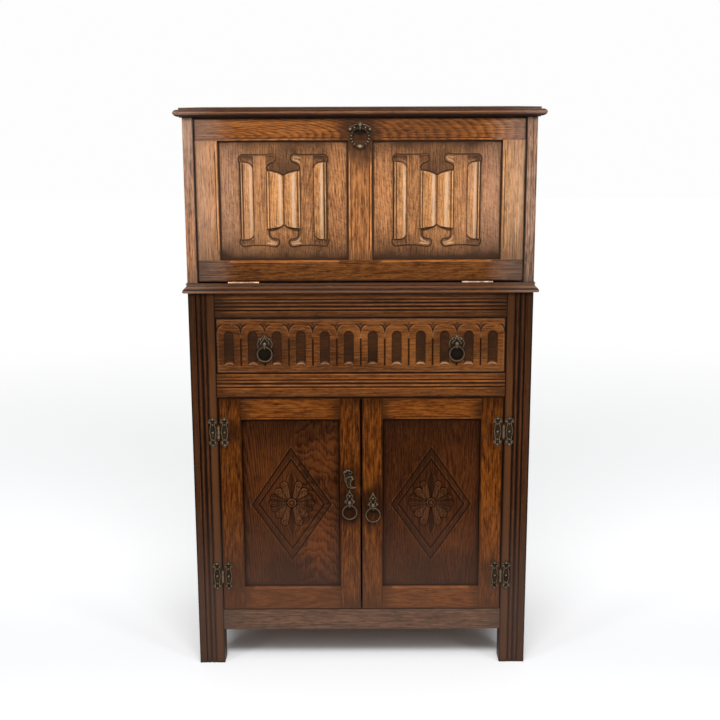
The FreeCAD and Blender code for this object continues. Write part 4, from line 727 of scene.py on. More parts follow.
class CABINET_OT_fold_panels(bpy.types.Operator):
    """Carve the two linenfold panels of the fall"""

    bl_idname = "cabinet.fold_panels"
    bl_label = "Linenfold panels"

    def execute(self, context):
        sizes, colours = context.scene.cabinet_carving, context.scene.cabinet_oak
        outline = fold_outline()
        for seed, (side, _) in enumerate(SIDES):
            node = f"linenfold_panel_{side}"
            low, high = box_mm(node)
            x, _, z = halfway(low, high)
            half = ((high[0] - low[0]) / 2, (high[2] - low[2]) / 2)
            face = high[1] - GROUND
            rims = [[-part, TONGUE - part, part - TONGUE, part] for part in half]
            marks = sorted({*rims[0], *FOLD_MARKS, *(-mark for mark in FOLD_MARKS)})
            material = oak(
                f"carved oak {side}", tuple(colours.fold_ground), (x, face, z), seed=3.3 + seed,
                heart=(0.085 - 0.15 * seed, 0.055), slope=0.1 - 0.17 * seed, figure=0.8, streak=0.85, shine=0.16,
                rough=0.46, carved=tuple(colours.fold_worn_and_lit), corner=0.9, patch=0.5, polish=0.26,
                painted_sheen=(("absX", 190, 330, 0.34),), ray=0.6,
            )
            bm = bmesh.new()
            carved_board(
                bm, spaced(marks, sizes.pitch) + x, spaced(rims[1], sizes.pitch) + z, face, high[1],
                lambda across, up: fold_relief(across - x, up - z, half, seed, sizes, outline),
            )
            finish_piece(bm, f"linenfold_{side}", "fall_front", material, node, 50)
        return {"FINISHED"}


# ---------------------------------------------------------------- door panels

# Leaves of the rosette, mm: from (across, up, half width) to (across, up, half width), in the order they overlap.
ROUND_PETALS = [((12, 10, 4.5), (29, 26, 9.5)), ((12, -10, 4.5), (28, -27, 10))]
TALL_PETALS = [((7.5, 14, 5), (16.5, 43, 8.5)), ((7.5, -14, 5), (16.5, -47, 9))]
FAN_LEAVES = [((14, 3, 3), (41, 13, 8)), ((14, -3, 3), (40, -14, 8)), ((14, 0, 3), (45, -0.5, 8))]
# Leaves, their height as a share of the tallest, and whether their tips are curled.
LEAVES = ((ROUND_PETALS, 0.55, True), (TALL_PETALS, 0.68, True), (FAN_LEAVES, 0.6, False))
# Hollow leaves: half width at each distance from the middle, mm.
UPPER_SPEAR = ((8, 4), (24, 5.5), (38, 9), (48, 11.5), (58, 10.5), (68, 6.5), (79, 0.2))
LOWER_SPEAR = ((8, 4), (26, 5.5), (40, 8), (54, 11), (63, 11), (72, 7), (84, 0.2))
BOSS, BOSS_DARK = 11.4, 13  # radius of the boss and of the old polish about it, mm
# Lozenge, mm: heights of its middle and the rosette's, half width and half height of its two lines.
LOZENGE_MIDDLE, ROSETTE_MIDDLE = 397.8, 402.5
OUTER_LINE, INNER_LINE = (94, 139), (78, 111.5)
# Old polish, and where it is rubbed through, on the door panels: across, up, reach in mm, how much.
PANEL_SPOTS = {
    "left": ((-93, 300, 95, -0.8), (-95, 520, 60, -0.5), (-225, 490, 110, -0.3), (-175, 225, 75, 0.45)),
    "right": ((230, 330, 90, -0.4), (240, 470, 90, -0.25), (150, 225, 70, 0.4)),
}
# The left panel is two boards, the right one is plain.
PANEL_GRAIN = {
    "left": {"heart": (-0.11, 0.03), "slope": 0.05, "other": (0.012, (0.05, 0.2), 0.26), "figure": 2.2},
    "right": {"heart": (0.06, 0.06), "slope": -0.06},
}


def leaf_depth(x, w, leaf):
    """How far each point lies inside a leaf of two joined discs, from its outer disc and above its vein."""
    (x0, z0, r0), (x1, z1, r1) = leaf
    dx, dz = x1 - x0, z1 - z0
    run = np.clip(((x - x0) * dx + (w - z0) * dz) / (dx * dx + dz * dz), 0, 1)
    depth = r0 + (r1 - r0) * run - np.hypot(x - x0 - run * dx, w - z0 - run * dz)
    return depth, np.hypot(x - x1, w - z1), w - z0 - run * dz


def rosette_relief(u, w, top):
    """Height, dark and light of the rosette: hollow spears, curled petals, fans and a ringed boss; dark is painted
    shade and dirt in the cuts, light is painted highlights and wear on rims and tips.
    """
    x = np.abs(u)
    height, dark, light = (np.zeros_like(u) for _ in range(3))
    for shape, rise in ((UPPER_SPEAR, 1), (LOWER_SPEAR, -1)):
        girth = np.interp(w * rise, *zip(*shape), left=0, right=0)
        depth = np.where(girth > 0, girth - x, -9)
        hollow = bump(x, 0, np.maximum(girth, 0.01))
        height = np.where(depth > 0, -1.4 * hollow + 0.8 * bump(depth, 0.6, 1.3), height)
        around = np.maximum(dark, 0.7 * bump(depth, -0.8, 1.6))
        dark = np.where(depth > 0, 0.62 * step(0.3, 1.0, hollow), around)
        light = np.where(depth > 0, 0.75 * bump(depth, 1.0, 1.6), light)
    for leaf, share_up, curled in ((leaf, *rest) for leaves, *rest in LEAVES for leaf in leaves):
        depth, away, above = leaf_depth(x, w, leaf)
        radius = leaf[1][2]
        inside = depth > 0
        around = fading(-depth, 2.2)
        pillow = rounded(depth, 3.2)
        rim = bump(depth, 1.3, 1.1)
        vein = bump(away, radius * 0.48, 1.3) if curled else bump(depth, 4.6, 0.9)
        dip = bump(depth, radius, radius - 1.6)
        body = top * share_up * (pillow - 0.22 * dip - 0.2 * vein) + 0.3 * rim
        sunk = np.minimum(height, height - 0.8 * around * (height <= 0))
        height = np.where(inside, np.maximum(body, 0.2), sunk)
        shadow = np.maximum(0.5 * vein, 0.9 * (1 - step(0, 0.9, depth)))
        if curled:
            lit = (0.3 + 0.6 * step(-3, 3, above)) * rim + 0.5 * pillow * (1 - vein)
        else:
            shadow = np.maximum(shadow, 0.45)
            lit = np.maximum(0.9 * rim * (1 - step(-2, 2, above)), 0.8 * bump(above, 0, 1.2))
        dark = np.where(inside, shadow, np.maximum(dark, 0.95 * around))
        light = np.where(inside, np.clip(lit, 0, 1), light)
    away = np.hypot(u, w)
    on_boss, about_boss = away < BOSS, away < BOSS_DARK
    dome = bump(np.clip((away - 8.2) / 3.2, 0, 1), 0, 1) ** 0.5
    cup = bump(away, 6.2, 1.7)
    height = np.where(on_boss, top * (0.8 * dome - 0.24 * cup), height)
    dark = np.where(about_boss, np.where(on_boss, 0.75 * cup, 0.9), dark)
    shine = 0.9 * bump(away, 9.2, 1.8) + 0.5 * (away < 4)
    light = np.where(about_boss, np.where(on_boss, shine, 0), light)
    return height, dark, light


def lozenge_depth(u, w, size):
    """How far outside a lozenge each point lies; negative inside."""
    wide, tall = size
    return (np.abs(u) / wide + np.abs(w) / tall - 1) * wide * tall / math.hypot(wide, tall)


def door_relief(u, up, half, foot, head, sizes):
    """Height, dirt and painted shade, wear and painted highlights of a door panel: a lozenge of two cut lines about
    a rosette.
    """
    w = up - LOZENGE_MIDDLE
    outer, inner = lozenge_depth(u, w, OUTER_LINE), lozenge_depth(u, w, INNER_LINE)
    rosette, dark, light = rosette_relief(u, up - ROSETTE_MIDDLE, sizes.petal)
    field = 1 - step(-1.5, 0.2, inner)
    height = -sizes.line * (bump(outer, -1.2, 1.9) + 1.15 * bump(inner, -1.0, 2.1))
    height = height - 0.5 * field + rosette * field
    edge = np.minimum(half - TONGUE - np.abs(u), np.minimum(up - foot, head - up))
    height = np.where(edge < 0, 0, height)
    # Painted shade in the cut lines, along the panel's edges and below its top rail; the field is darker.
    dirt = most(
        0.95 * bump(outer, -1.2, 2.4) + 0.95 * bump(inner, -1.0, 2.6),
        dark * field,
        0.16 * (inner < 0) + 0.36 * (outer < 0) * (inner > 0),
        0.8 * fading(edge, 10),
        1.2 * (1 - step(1.2, 5.0, edge)),
        0.6 * fading(head - up, 45),
    )
    rim = bump(inner, 2.2, 1.6)
    # Painted highlights on the rims of the lines and on the rosette.
    wear = most(field * light, 0.9 * rim * (u > 0) * (w > 0), 0.45 * (rim + bump(outer, 1.6, 1.5)))
    return height, np.clip(dirt, 0, 1), np.clip(wear, 0, 1)


class CABINET_OT_door_panels(bpy.types.Operator):
    """Carve the lozenge and rosette on both door panels"""

    bl_idname = "cabinet.door_panels"
    bl_label = "Door panels"

    def execute(self, context):
        sizes, colours = context.scene.cabinet_carving, context.scene.cabinet_oak
        for seed, (side, _) in enumerate(SIDES):
            node = f"{side}_door_panel"
            low, high = box_mm(node)
            middle = (low[0] + high[0]) / 2
            half = (high[0] - low[0]) / 2
            face = high[1] - GROUND
            foot, head = low[2] + TONGUE, high[2] - TONGUE
            columns = [low[0], low[0] + TONGUE, middle, high[0] - TONGUE, high[0]]
            rows = [low[2], foot, LOZENGE_MIDDLE, head, high[2]]
            material = oak(
                f"door panel oak {side}", tuple(colours.door_panel), (middle, face, ROSETTE_MIDDLE),
                seed=11.2 + 4 * seed, streak=0.8, spots=PANEL_SPOTS[side], shine=0.03, rough=0.44,
                carved=tuple(colours.door_worn), **PANEL_GRAIN[side],
            )
            pitch = sizes.pitch * 1.04
            bm = bmesh.new()
            carved_board(
                bm, spaced(columns, pitch), spaced(rows, pitch), face, high[1],
                lambda across, up: door_relief(across - middle, up, half, foot, head, sizes),
            )
            finish_piece(bm, f"{side}_lozenge_panel", f"{side}_door", material, node, 50)
        return {"FINISHED"}


# ---------------------------------------------------------------- drawer front

# Flutes and the slots between them, mm: spacing, height of their feet, half widths, straight height above the feet.
FLUTE_PITCH, FLUTE_FOOT = 54.6, 734.0
FLUTE_HALF, FLUTE_STRAIGHT, FOOT_RADIUS = 11, 69, 17
SLOT_HALF, SLOT_STRAIGHT = 2.1, 61
# Winged cuts over the slots, mm: height of their middle, rise and reach of a wing, where it ends.
WING_FOOT, WING_RISE, WING_REACH, WING_END = 814.5, 15.5, 4.2, 13.5
DRAWER_PITCH, DRAWER_EASE = 0.98, 1.6
# Old polish and finger marks on the drawer front: across, up, reach in mm, how much.
DRAWER_SPOTS = (
    (-218.5, 774, 50, 0.8), (218.5, 774, 50, 0.8), (-300, 776, 52, 0.5), (-170, 775, 55, 0.5),
    (-60, 772, 45, 0.3), (165, 774, 50, 0.45), (275, 774, 50, 0.45),
)


def drawer_relief(across, up, low, high, sizes):
    """Height, dirt and painted shade, wear and painted highlights of the drawer front: flutes, slots between them
    and winged cuts over the slots.
    """
    w = up - FLUTE_FOOT
    u = (across / FLUTE_PITCH) % 1.0 * FLUTE_PITCH - FLUTE_PITCH / 2
    wide = np.abs(u)
    inside = FLUTE_HALF - np.hypot(u, np.maximum(w - FLUTE_STRAIGHT, 0))
    foot_line = np.sqrt(np.maximum(FOOT_RADIUS**2 - u**2, 0)) - math.sqrt(FOOT_RADIUS**2 - FLUTE_HALF**2)
    rise = w - foot_line
    flute = step(-0.2, 1.4, inside) * (w > foot_line - 0.4) * (wide < 11.2)
    height = -sizes.flute * flute * bump(u, 0, 11.4) ** 0.35 * np.clip(rise / 5.0, 0, 1)
    height = height - 0.6 * bump(rise, -2.2, 1.5) * (wide < 11)

    v = (across / FLUTE_PITCH + 0.5) % 1.0 * FLUTE_PITCH - FLUTE_PITCH / 2
    slot_inside = SLOT_HALF - np.hypot(v, np.maximum(w - SLOT_STRAIGHT, 0))
    between = np.abs(across) < FLUTE_PITCH * 5.5
    height = height - sizes.slot * step(0.0, 1.4, slot_inside) * (w > 0) * between
    x = np.abs(v)
    wing = WING_RISE * (1 - np.exp(-x / WING_REACH))
    lean = WING_RISE / WING_REACH * np.exp(-x / WING_REACH)
    off = (up - WING_FOOT - wing) / np.sqrt(1 + lean**2)
    taper = bump(x, 0, WING_END) * (np.abs(across) < FLUTE_PITCH * 6.2)
    stroke = bump(off, 0, 0.6 + 2.2 * taper) * (taper > 0)
    height = height - sizes.chip * 0.75 * stroke
    edge = most(low[0] - across, across - high[0], low[2] - up, up - high[2]) * -1
    height = height - 0.9 * (1 - step(0, DRAWER_EASE, edge))
    # Painted shade in the flutes under their arched heads, in the slots, cuts and round the edges.
    dirt = most(
        flute * 0.86 * step(3.0, 6.0, rise),
        0.8 * bump(inside, 0.2, 1.3) * (rise > 3) * (wide < 12),
        0.5 * bump(rise, -2.2, 1.6) * (wide < 11),
        0.9 * step(-0.5, 0.8, slot_inside) * (w > -0.5) * between,
        0.95 * stroke,
        0.7 * bump(x, 0, 4.5) * bump(up, 830, 5),
        0.85 * np.exp(-edge / 3.0),
    )
    # Painted highlights on the flutes' lit feet, under the cuts and along the edges.
    wear = most(
        bump(rise, 1.3, 2.0) * np.clip(1.15 - (u / 11) ** 2, 0, 1) * (wide < 11.6),
        0.4 * bump(off, -3.0, 1.4) * (taper > 0.1),
        0.4 * bump(edge, 3.4, 1.6),
    )
    return height, np.clip(dirt, 0, 1), np.clip(wear, 0, 1)


class CABINET_OT_drawer_front(bpy.types.Operator):
    """Carve the flutes, slots and chip cuts of the drawer front"""

    bl_idname = "cabinet.drawer_front"
    bl_label = "Drawer front"

    def execute(self, context):
        sizes, colours = context.scene.cabinet_carving, context.scene.cabinet_oak
        low, high = box_mm("drawer_front")
        columns = [low[0], low[0] + DRAWER_EASE, 0, high[0] - DRAWER_EASE, high[0]]
        rows = [low[2], low[2] + DRAWER_EASE, FLUTE_FOOT, WING_FOOT, high[2] - DRAWER_EASE, high[2]]
        material = oak(
            "drawer oak", tuple(colours.drawer), (0, low[1], (low[2] + high[2]) / 2), grain="X", seed=21.6,
            heart=(0.02, 0.05), slope=0.05, figure=0.7, streak=0.7, shine=0.08, rough=0.4,
            carved=tuple(colours.drawer_worn_and_lit), corner=0.75, patch=0.8, spots=DRAWER_SPOTS,
            ends=(("Z", 706, 900, 34),), end_dirt=0.6,
        )
        bm = bmesh.new()
        carved_board(
            bm, spaced(columns, DRAWER_PITCH), spaced(rows, DRAWER_PITCH), low[1], high[1],
            lambda across, up: drawer_relief(across, up, low, high, sizes),
        )
        finish_piece(bm, "fluted_drawer_front", "drawer", material, "drawer_front", 50)
        return {"FINISHED"}


# ---------------------------------------------------------------- moulded and reeded framework

STOPS = (19, 22, 25)  # where a moulding starts to fade short of its ends, mm
BEAD_MARKS = (0, 0.6, 1.2, 2.4, 3.6, 4.4, 5.4, 6.4, 7.2)
EASE = 1.4
# Fall, mm: half the muntin, stiles from the middle, height of the rails.
MUNTIN, STILE, FALL_RAIL = 26.0, 314.5, 48
# Doors, mm: their panels from the middle, lower and upper sight lines.
DOOR_SIGHT, DOOR_FOOT, DOOR_HEAD = (49.75, 277.5), 194.5, 606.5
# Posts, mm: from and to, and lines of points across with the reeds between them.
POST_IN, POST_OUT, POST_REEDS = 330, 390, (350, 11.75, 2)
POST_MARKS = (330, 331.4, 346, 350, 361.75, 373.5, 377, 388.6, 390)
# Reeded rails: foot of the reeds above the rail's lower edge, width, count.
RAIL_REEDS = {"frieze_rail": (17, 8.6, 3), "drawer_rail": (23.5, 9.2, 2)}

# Dark ends: axis, from, to, reach in mm. Painted sheen, a pale reflection of the light on the polish: axis, start,
# full in mm, how much.
# Spots: across, up, reach in mm, how dark, or how light below 0.
FALL_ENDS = ("X", -364.5, 364.5, 85)
FALL_PAINTED_SHEEN = (("absX", 270, 364, 0.42),)
DOOR_ENDS = ("absX", 49.75, 277.5, 34)
RAIL_ENDS = ("X", -330, 330, 70)
POST_ENDS = ("Z", -250, 903, 260)
STILE_Z = ("Z", 950, 1330, 150)
MUNTIN_Z = ("Z", 955, 1275, 85)
POST_BANDS = (("absX", 332, 347, 0.95), ("absX", 378, 388, 0.35))
RING_SPOT = ((0, 1252, 92, 0.85),)
RIGHT_STILE = ((340, 1100, 210, -0.3),)
LEFT_RAIL_SPOTS = ((-190, 150, 260, 0.3), (-70, 165, 70, 0.5))
# Node: grain, tone, gloss, roughness, heart, slope, pair, dark ends, how dark,
# how much lighter the rubbed and lit parts are (wear and painted highlights), strength of the rings, spots.
FRAMES = {
    "fall_top_rail": (
        "X", "fall", 0.12, 0.36, (-0.014, 0.045), 0.17, None, FALL_ENDS, 0.45, 1.9, 1.5, RING_SPOT),
    "fall_bottom_rail": (
        "X", "fall_low", 0.06, 0.38, (0.008, 0.06), 0.04, None, FALL_ENDS, 0.65, 3.2, 0.7, ()),
    "fall_stiles": (
        "Z", "fall_upright", 0.2, 0.36, (0.0, 0.09), 0.03, ("X", 339.5), STILE_Z, 0.7, 1.7, 0.6, RIGHT_STILE),
    "fall_muntin": (
        "Z", "fall_muntin", 0.16, 0.36, (-0.004, 0.06), 0.05, None, MUNTIN_Z, 0.6, 2.4, 0.9, RING_SPOT),
    "left_door_rails": (
        "X", "door_low", 0.04, 0.42, (0.0, 0.05), 0.05, ("Z", 233), DOOR_ENDS, 0.7, 1.7, 0.9, LEFT_RAIL_SPOTS),
    "right_door_rails": (
        "X", "door_low", 0.04, 0.42, (0.004, 0.05), -0.05, ("Z", 233), DOOR_ENDS, 0.7, 1.7, 0.9, ()),
    "front_post_left": ("Z", "post", 0.05, 0.42, (0.01, 0.08), 0.02, None, POST_ENDS, 0.5, 2.2, 0.5, ()),
    "front_post_right": ("Z", "post", 0.05, 0.42, (-0.01, 0.08), 0.02, None, POST_ENDS, 0.5, 2.2, 0.5, ()),
    "frieze_rail": ("X", "frieze", 0.06, 0.42, (0.0, 0.08), 0.02, None, RAIL_ENDS, 0.65, 2.6, 0.5, ()),
    "drawer_rail": ("X", "drawer_rail", 0.06, 0.42, (0.01, 0.08), 0.02, None, RAIL_ENDS, 0.55, 2.8, 0.5, ()),
}


def stopped(value, low, high):
    """1 along a run and 0 where a moulding stops short of its ends."""
    first, _, last = STOPS
    return step(low + first, low + last, value) * (1 - step(high - last, high - first, value))


def scratch_bead(edge, run, depth):
    """A bead with its quirk along an inner edge: height, dirt and painted shade in the quirk, wear and a painted
    highlight on the bead, by the distance from the edge.
    """
    arris = 1 - step(0, 1.0, edge)
    height = -1.5 * (1 - step(0, 2.4, edge)) * run - 0.35 * arris - depth * bump(edge, 5.4, 1.1) * run
    return height, 0.85 * bump(edge, 5.4, 1.7) * run + 0.5 * arris, 0.75 * bump(edge, 2.6, 2.1) * run


def sill(edge, run):
    """A stopped chamfer along the upper edge of a rail under a panel, with a painted highlight where it faces the
    light.
    """
    height = -np.clip(4.6 - edge, 0, 4.6) * 0.8 * run - 0.35 * (1 - step(0, 1.0, edge))
    wear = 0.95 * step(0.3, 1.2, edge) * (1 - step(4.2, 5.2, edge)) * run
    return height, 0.35 * bump(edge, 5.6, 1.2) * run, wear


def reeds(value, start, width, count, depth):
    """Round reeds side by side between their quirks: height, dirt and painted shade in the quirks, wear and painted
    highlights on the crowns, by the place across them.
    """
    t = (value - start) / width
    inside = (t >= 0) & (t <= count)
    t = t % 1.0 * 2 - 1
    height = np.where(inside, -depth * (1 - bump(0.97 * t, 0, 1) ** 0.5), 0)
    dirt = np.where(inside, 0.95 * step(0.3, 0.8, np.abs(t)), 0)
    wear = np.where(inside, 0.95 * bump(t, 0.05, 0.32), 0)
    for rim, out in ((start, -2.6), (start + width * count, 2.6)):
        dirt = np.maximum(dirt, 0.9 * bump(value, rim, 1.5))
        wear = np.maximum(wear, 0.7 * bump(value, rim + out, 1.4))
    return height, dirt, wear


def eased(edge, marks):
    """Ease the outer edges of a carved face and paint shade of the gaps and old polish along them."""
    height, dirt, wear = marks
    height = height - 0.5 * (1 - step(0, 1.3, edge))
    dirt = np.maximum(dirt, 0.98 * fading(edge - 1.2, 2.4))
    return height, np.clip(dirt, 0, 1), np.clip(wear, 0, 1)


def ladder(inner, outer):
    """Points from a moulded inner edge to a plain outer one."""
    sign = 1 if outer > inner else -1
    marks = [inner + sign * part for part in BEAD_MARKS] + [outer - sign * EASE, outer]
    return spaced(sorted(marks), 2.2)


def along_bays(ends, bays):
    """Points along a member, close where its mouldings stop."""
    marks = set(ends)
    for low, high in bays:
        marks.update(low + stop for stop in STOPS)
        marks.update(high - stop for stop in STOPS)
    return spaced(sorted(marks), 4.0)


class CABINET_OT_framework(bpy.types.Operator):
    """Plane the moulded rails, stiles and muntin, and the reeded rails and posts"""

    bl_idname = "cabinet.framework"
    bl_label = "Framework"

    def execute(self, context):
        self.fall(context.scene.cabinet_carving.quirk)
        for side, sign in SIDES:
            self.door_rails(side, sign)
            self.post(side, sign, context.scene.cabinet_carving.reed)
        for node, row in RAIL_REEDS.items():
            self.reeded_rail(node, *row, context.scene.cabinet_carving.reed)
        return {"FINISHED"}

    def fall(self, quirk):
        low_z = box_mm("fall_bottom_rail")[1][2]
        high_z = box_mm("fall_top_rail")[0][2]
        out_x = box_mm("fall_stiles")[1][0]
        bays = [(-STILE, -MUNTIN), (MUNTIN, STILE)]
        rail_x = along_bays((-out_x, -out_x + EASE, 0, out_x - EASE, out_x), bays)
        stile_z = along_bays((low_z, high_z), [(low_z, high_z)])
        muntin_x = spaced(sorted(sign * (MUNTIN - part) for part in BEAD_MARKS for sign in (-1, 1)), 2.2)

        def top_rail(x, z):
            height, dirt, wear = scratch_bead(z - high_z, stopped(np.abs(x), MUNTIN, STILE), quirk)
            dirt = np.maximum(dirt, 0.4 * step(0, 100, x) * (1 - step(180, 330, x)))
            return eased(np.minimum(out_x - np.abs(x), high_z + FALL_RAIL - z), (height, dirt, wear))

        def low_rail(x, z):
            marks = sill(low_z - z, stopped(np.abs(x), MUNTIN, STILE))
            return eased(np.minimum(out_x - np.abs(x), z - low_z + FALL_RAIL), marks)

        def upright(x, z):
            x = np.abs(x)
            middle = x < 100
            marks = scratch_bead(np.where(middle, MUNTIN - x, x - STILE), stopped(z, low_z, high_z), quirk)
            return eased(np.where(middle, 99.0, out_x - x), marks)

        stiles = [(ladder(sign * STILE, sign * out_x), stile_z) for sign in (1, -1)]
        for part, boards, relief in (
            ("top_rail", [(rail_x, ladder(high_z, high_z + FALL_RAIL))], top_rail),
            ("bottom_rail", [(rail_x, ladder(low_z, low_z - FALL_RAIL))], low_rail),
            ("stiles", stiles, upright),
            ("muntin", [(muntin_x, stile_z)], upright),
        ):
            self.plane(f"fall_{part}", "fall_front", boards, relief)

    def door_rails(self, side, sign):
        low, high = box_mm(f"{side}_door_rails")
        span = sorted(part * sign for part in DOOR_SIGHT)
        columns = along_bays(span, [span])

        def relief(x, z):
            run = stopped(np.abs(x), *DOOR_SIGHT)
            lower = z < LOZENGE_MIDDLE
            both = zip(sill(DOOR_FOOT - z, run), scratch_bead(z - DOOR_HEAD, run, 0.0))
            marks = [np.where(lower, first, second) for first, second in both]
            return eased(np.where(lower, z - low[2], high[2] - z), marks)

        boards = [(columns, ladder(DOOR_FOOT, low[2])), (columns, ladder(DOOR_HEAD, high[2]))]
        self.plane(f"{side}_door_rails", f"{side}_door", boards, relief)

    def post(self, side, sign, depth):
        def relief(x, z):
            x = np.abs(x)
            return eased(np.minimum(x - POST_IN, POST_OUT - x), reeds(x, *POST_REEDS, depth))

        node = f"front_post_{side}"
        columns = spaced(sorted(sign * part for part in POST_MARKS), 0.75)
        self.plane(node, "carcass", [(columns, spaced([0, 450, box_mm(node)[1][2]], 40))], relief)

    def reeded_rail(self, node, start, width, count, depth):
        low, high = (corner[2] for corner in box_mm(node))

        def relief(x, z):
            edge = np.minimum(z - low, high - z)
            height, dirt, wear = eased(edge, reeds(z - low, start, width, count, depth))
            # Painted highlight along the rail's upper edge.
            lit = 0.9 * bump(high - z, 3.0, 1.6)
            return height, dirt * (1 - lit), np.maximum(wear, lit)

        first = low + start
        rows = [low, low + EASE, first, first + width * count, high - EASE, high]
        columns = spaced([-POST_IN, 0, POST_IN], 40)
        self.plane(node, "carcass", [(columns, spaced(rows, 0.7))], relief)

    def plane(self, node, body, boards, relief):
        """Make the boards of a node with a relief on their fronts."""
        grain, tone, shine, rough, heart, slope, pair, ends, dark, rub_and_highlight, figure, spots = FRAMES[node]
        tone = tuple(getattr(bpy.context.scene.cabinet_oak, tone))
        low, high = box_mm(node)
        material = oak(
            f"{node} oak", tone, halfway(low, high), grain, "Y", pair, seed=31.4 + list(FRAMES).index(node) * 1.3,
            streak=0.65 if body == "carcass" else 0.85, painted_sheen=FALL_PAINTED_SHEEN if body == "fall_front" else (),
            heart=heart, slope=slope, shine=shine, rough=rough, ends=(ends,), end_dirt=dark, figure=figure,
            carved=shade(tone, rub_and_highlight), corner=0.9, patch=0.22, polish=0.1, spots=spots,
            bands=POST_BANDS if node.startswith("front_post") else (),
        )
        bm = bmesh.new()
        for columns, rows in boards:
            board = bmesh.new()
            carved_board(board, columns, rows, low[1], high[1], relief)
            join_into(bm, board)
        finish_piece(bm, f"worked_{node}", body, material, node, 40)


# ---------------------------------------------------------------- plain oak

# Dark ends: axis, from, to, reach in mm. Bands: axis, from, to in mm, how much lighter, or how dark below 0; on the
# top and waist mouldings and along edges these are painted highlights and painted shade.
TOP_ENDS = (("Z", 1290, 1330, 7),)
TOP_LIGHT_AND_SHADE = (("Z", 1289, 1297, -0.9), ("Z", 1298.5, 1303, 0.8), ("Z", 1303.5, 1306.5, -0.6), ("Z", 1307, 1311, 0.7))
WAIST_LIGHT_AND_SHADE = (
    ("Z", 902, 908, 0.8), ("Z", 908, 912.5, -0.9), ("Z", 913, 917, 0.85), ("Z", 917, 919.5, -0.85),
    ("Z", 919.5, 924, 0.9),
)
SIDE_ENDS = (("Z", 905, 1350, 110),)
# Painted shade line along the sides' front edges beside the fall.
SIDE_EDGE = (("absX", 363, 369, -0.95),)
UPPER_SIDE_TINT = (0.7, 0.6, 0.5)
PANEL_ENDS = (("Z", 129, 860, 40), ("Y", -155, 173, 16))
REAR_ENDS = (("Z", -40, 903, 50),)
PLINTH_ENDS = (("X", -330, 330, 60), ("Z", 84, 139, 7))
STILE_ENDS = (("Z", 138.5, 657.5, 48),)
# Painted shade lines along the door stiles' edges and ends, in the gaps.
STILE_EDGES = (
    ("absX", 0, 4.5, -0.8), ("absX", 46.5, 51, -0.6), ("absX", 277, 281, -0.6), ("absX", 325, 330, -0.85),
    ("Z", 137, 141.5, -0.8), ("Z", 654.5, 659, -0.8),
)
LEFT_EDGES = STILE_EDGES + (("X", -330, -276, -0.22),)
BOARD_PAINTED_SHEENS = {"side": (("Z", 960, 1290, 0.45),), "top": (("absX", 290, 408, 0.26),)}
LIVELY_GRAIN = {"door": 1.25, "plinth": 1.6}
STILE_SPOTS = {
    "left_door_stiles": (
        (-28, 400, 84, 0.9), (-28, 460, 60, 0.75), (-318, 577, 62, 0.7), (-318, 222, 80, 0.7), (-300, 165, 90, 0.45)
    ),
    "right_door_stiles": (
        (28, 400, 80, 0.85), (318, 577, 58, 0.6), (318, 222, 70, 0.6), (303, 400, 150, -0.22)
    ),
}


def unseen(grain, facing, across=0.0, behind=0.05, shine=0.2, rough=0.55, pair=None):
    """A plain board of the inside."""
    return grain, facing, "inside", shine, rough, (across, behind), 0.04, pair, (), 0, ()


# Node: grain, facing, tone, gloss, roughness, heart, slope, pair, dark ends, how dark, bands.
BOARDS = {
    "top_board": ("X", "Z", "top", 0.15, 0.36, (0.05, 0.04), 0.03, None, TOP_ENDS, 0.7, TOP_LIGHT_AND_SHADE),
    "bar_floor": ("X", "Y", "top", 0.35, 0.4, (0.0, 0.05), 0.03, None, (), 0, ()),
    "waist_moulding": ("X", "Y", "top", 0.15, 0.36, (0.01, 0.05), 0.03, None, (), 0, WAIST_LIGHT_AND_SHADE),
    "upper_side_left": ("Z", "X", "side", 0.5, 0.32, (0.03, 0.06), 0.04, None, SIDE_ENDS, 0.6, SIDE_EDGE),
    "upper_side_right": (
        "Z", "X", "side_right", 0.3, 0.32, (-0.03, -0.06), 0.04, None, SIDE_ENDS, 0.75, SIDE_EDGE),
    "rear_posts": ("Z", "X", "post", 0.08, 0.46, (0.01, 0.05), 0.03, ("X", 368), REAR_ENDS, 0.45, ()),
    "bottom_rail": ("X", "Y", "plinth", 0.2, 0.4, (0.0, 0.03), 0.05, None, PLINTH_ENDS, 0.55, ()),
    "side_rails": ("Y", "X", "side_low", 0.06, 0.5, (0.0, 0.04), 0.04, ("X", 375), (), 0, ()),
    "side_panel_left": ("Z", "X", "side_low", 0.06, 0.5, (0.02, 0.05), 0.06, None, PANEL_ENDS, 0.6, ()),
    "side_panel_right": ("Z", "X", "side_low", 0.06, 0.5, (0.02, -0.05), 0.06, None, PANEL_ENDS, 0.6, ()),
    "left_door_stiles": (
        "Z", "Y", "door", 0.03, 0.42, (0.006, 0.04), 0.05, ("X", 137.6), STILE_ENDS, 0.65, LEFT_EDGES),
    "right_door_stiles": (
        "Z", "Y", "door", 0.03, 0.42, (-0.006, 0.04), -0.05, ("X", 137.6), STILE_ENDS, 0.65, STILE_EDGES),
    "upper_back_panel": unseen("X", "Y", 0.0, 0.1),
    "lower_back_panel": unseen("X", "Y", 0.05, 0.1),
    "back_rails": unseen("X", "Y"),
    "bar_shelf": unseen("X", "Z", shine=0.3, rough=0.48),
    "cupboard_floor": unseen("X", "Z", 0.0, 0.06),
    "cupboard_shelf": unseen("X", "Z", 0.02, 0.06),
    "shelf_bearers": unseen("Y", "X"),
    "drawer_runners": unseen("Y", "Z"),
    "drawer_kickers": unseen("Y", "Z"),
    "closing_strips": unseen("X", "Y"),
    "drawer_sides": unseen("Y", "X", shine=0.25, rough=0.52, pair=("X", 321)),
    "drawer_back": unseen("X", "Y", shine=0.25, rough=0.52),
    "drawer_bottom": unseen("X", "Z", 0.0, 0.08),
}
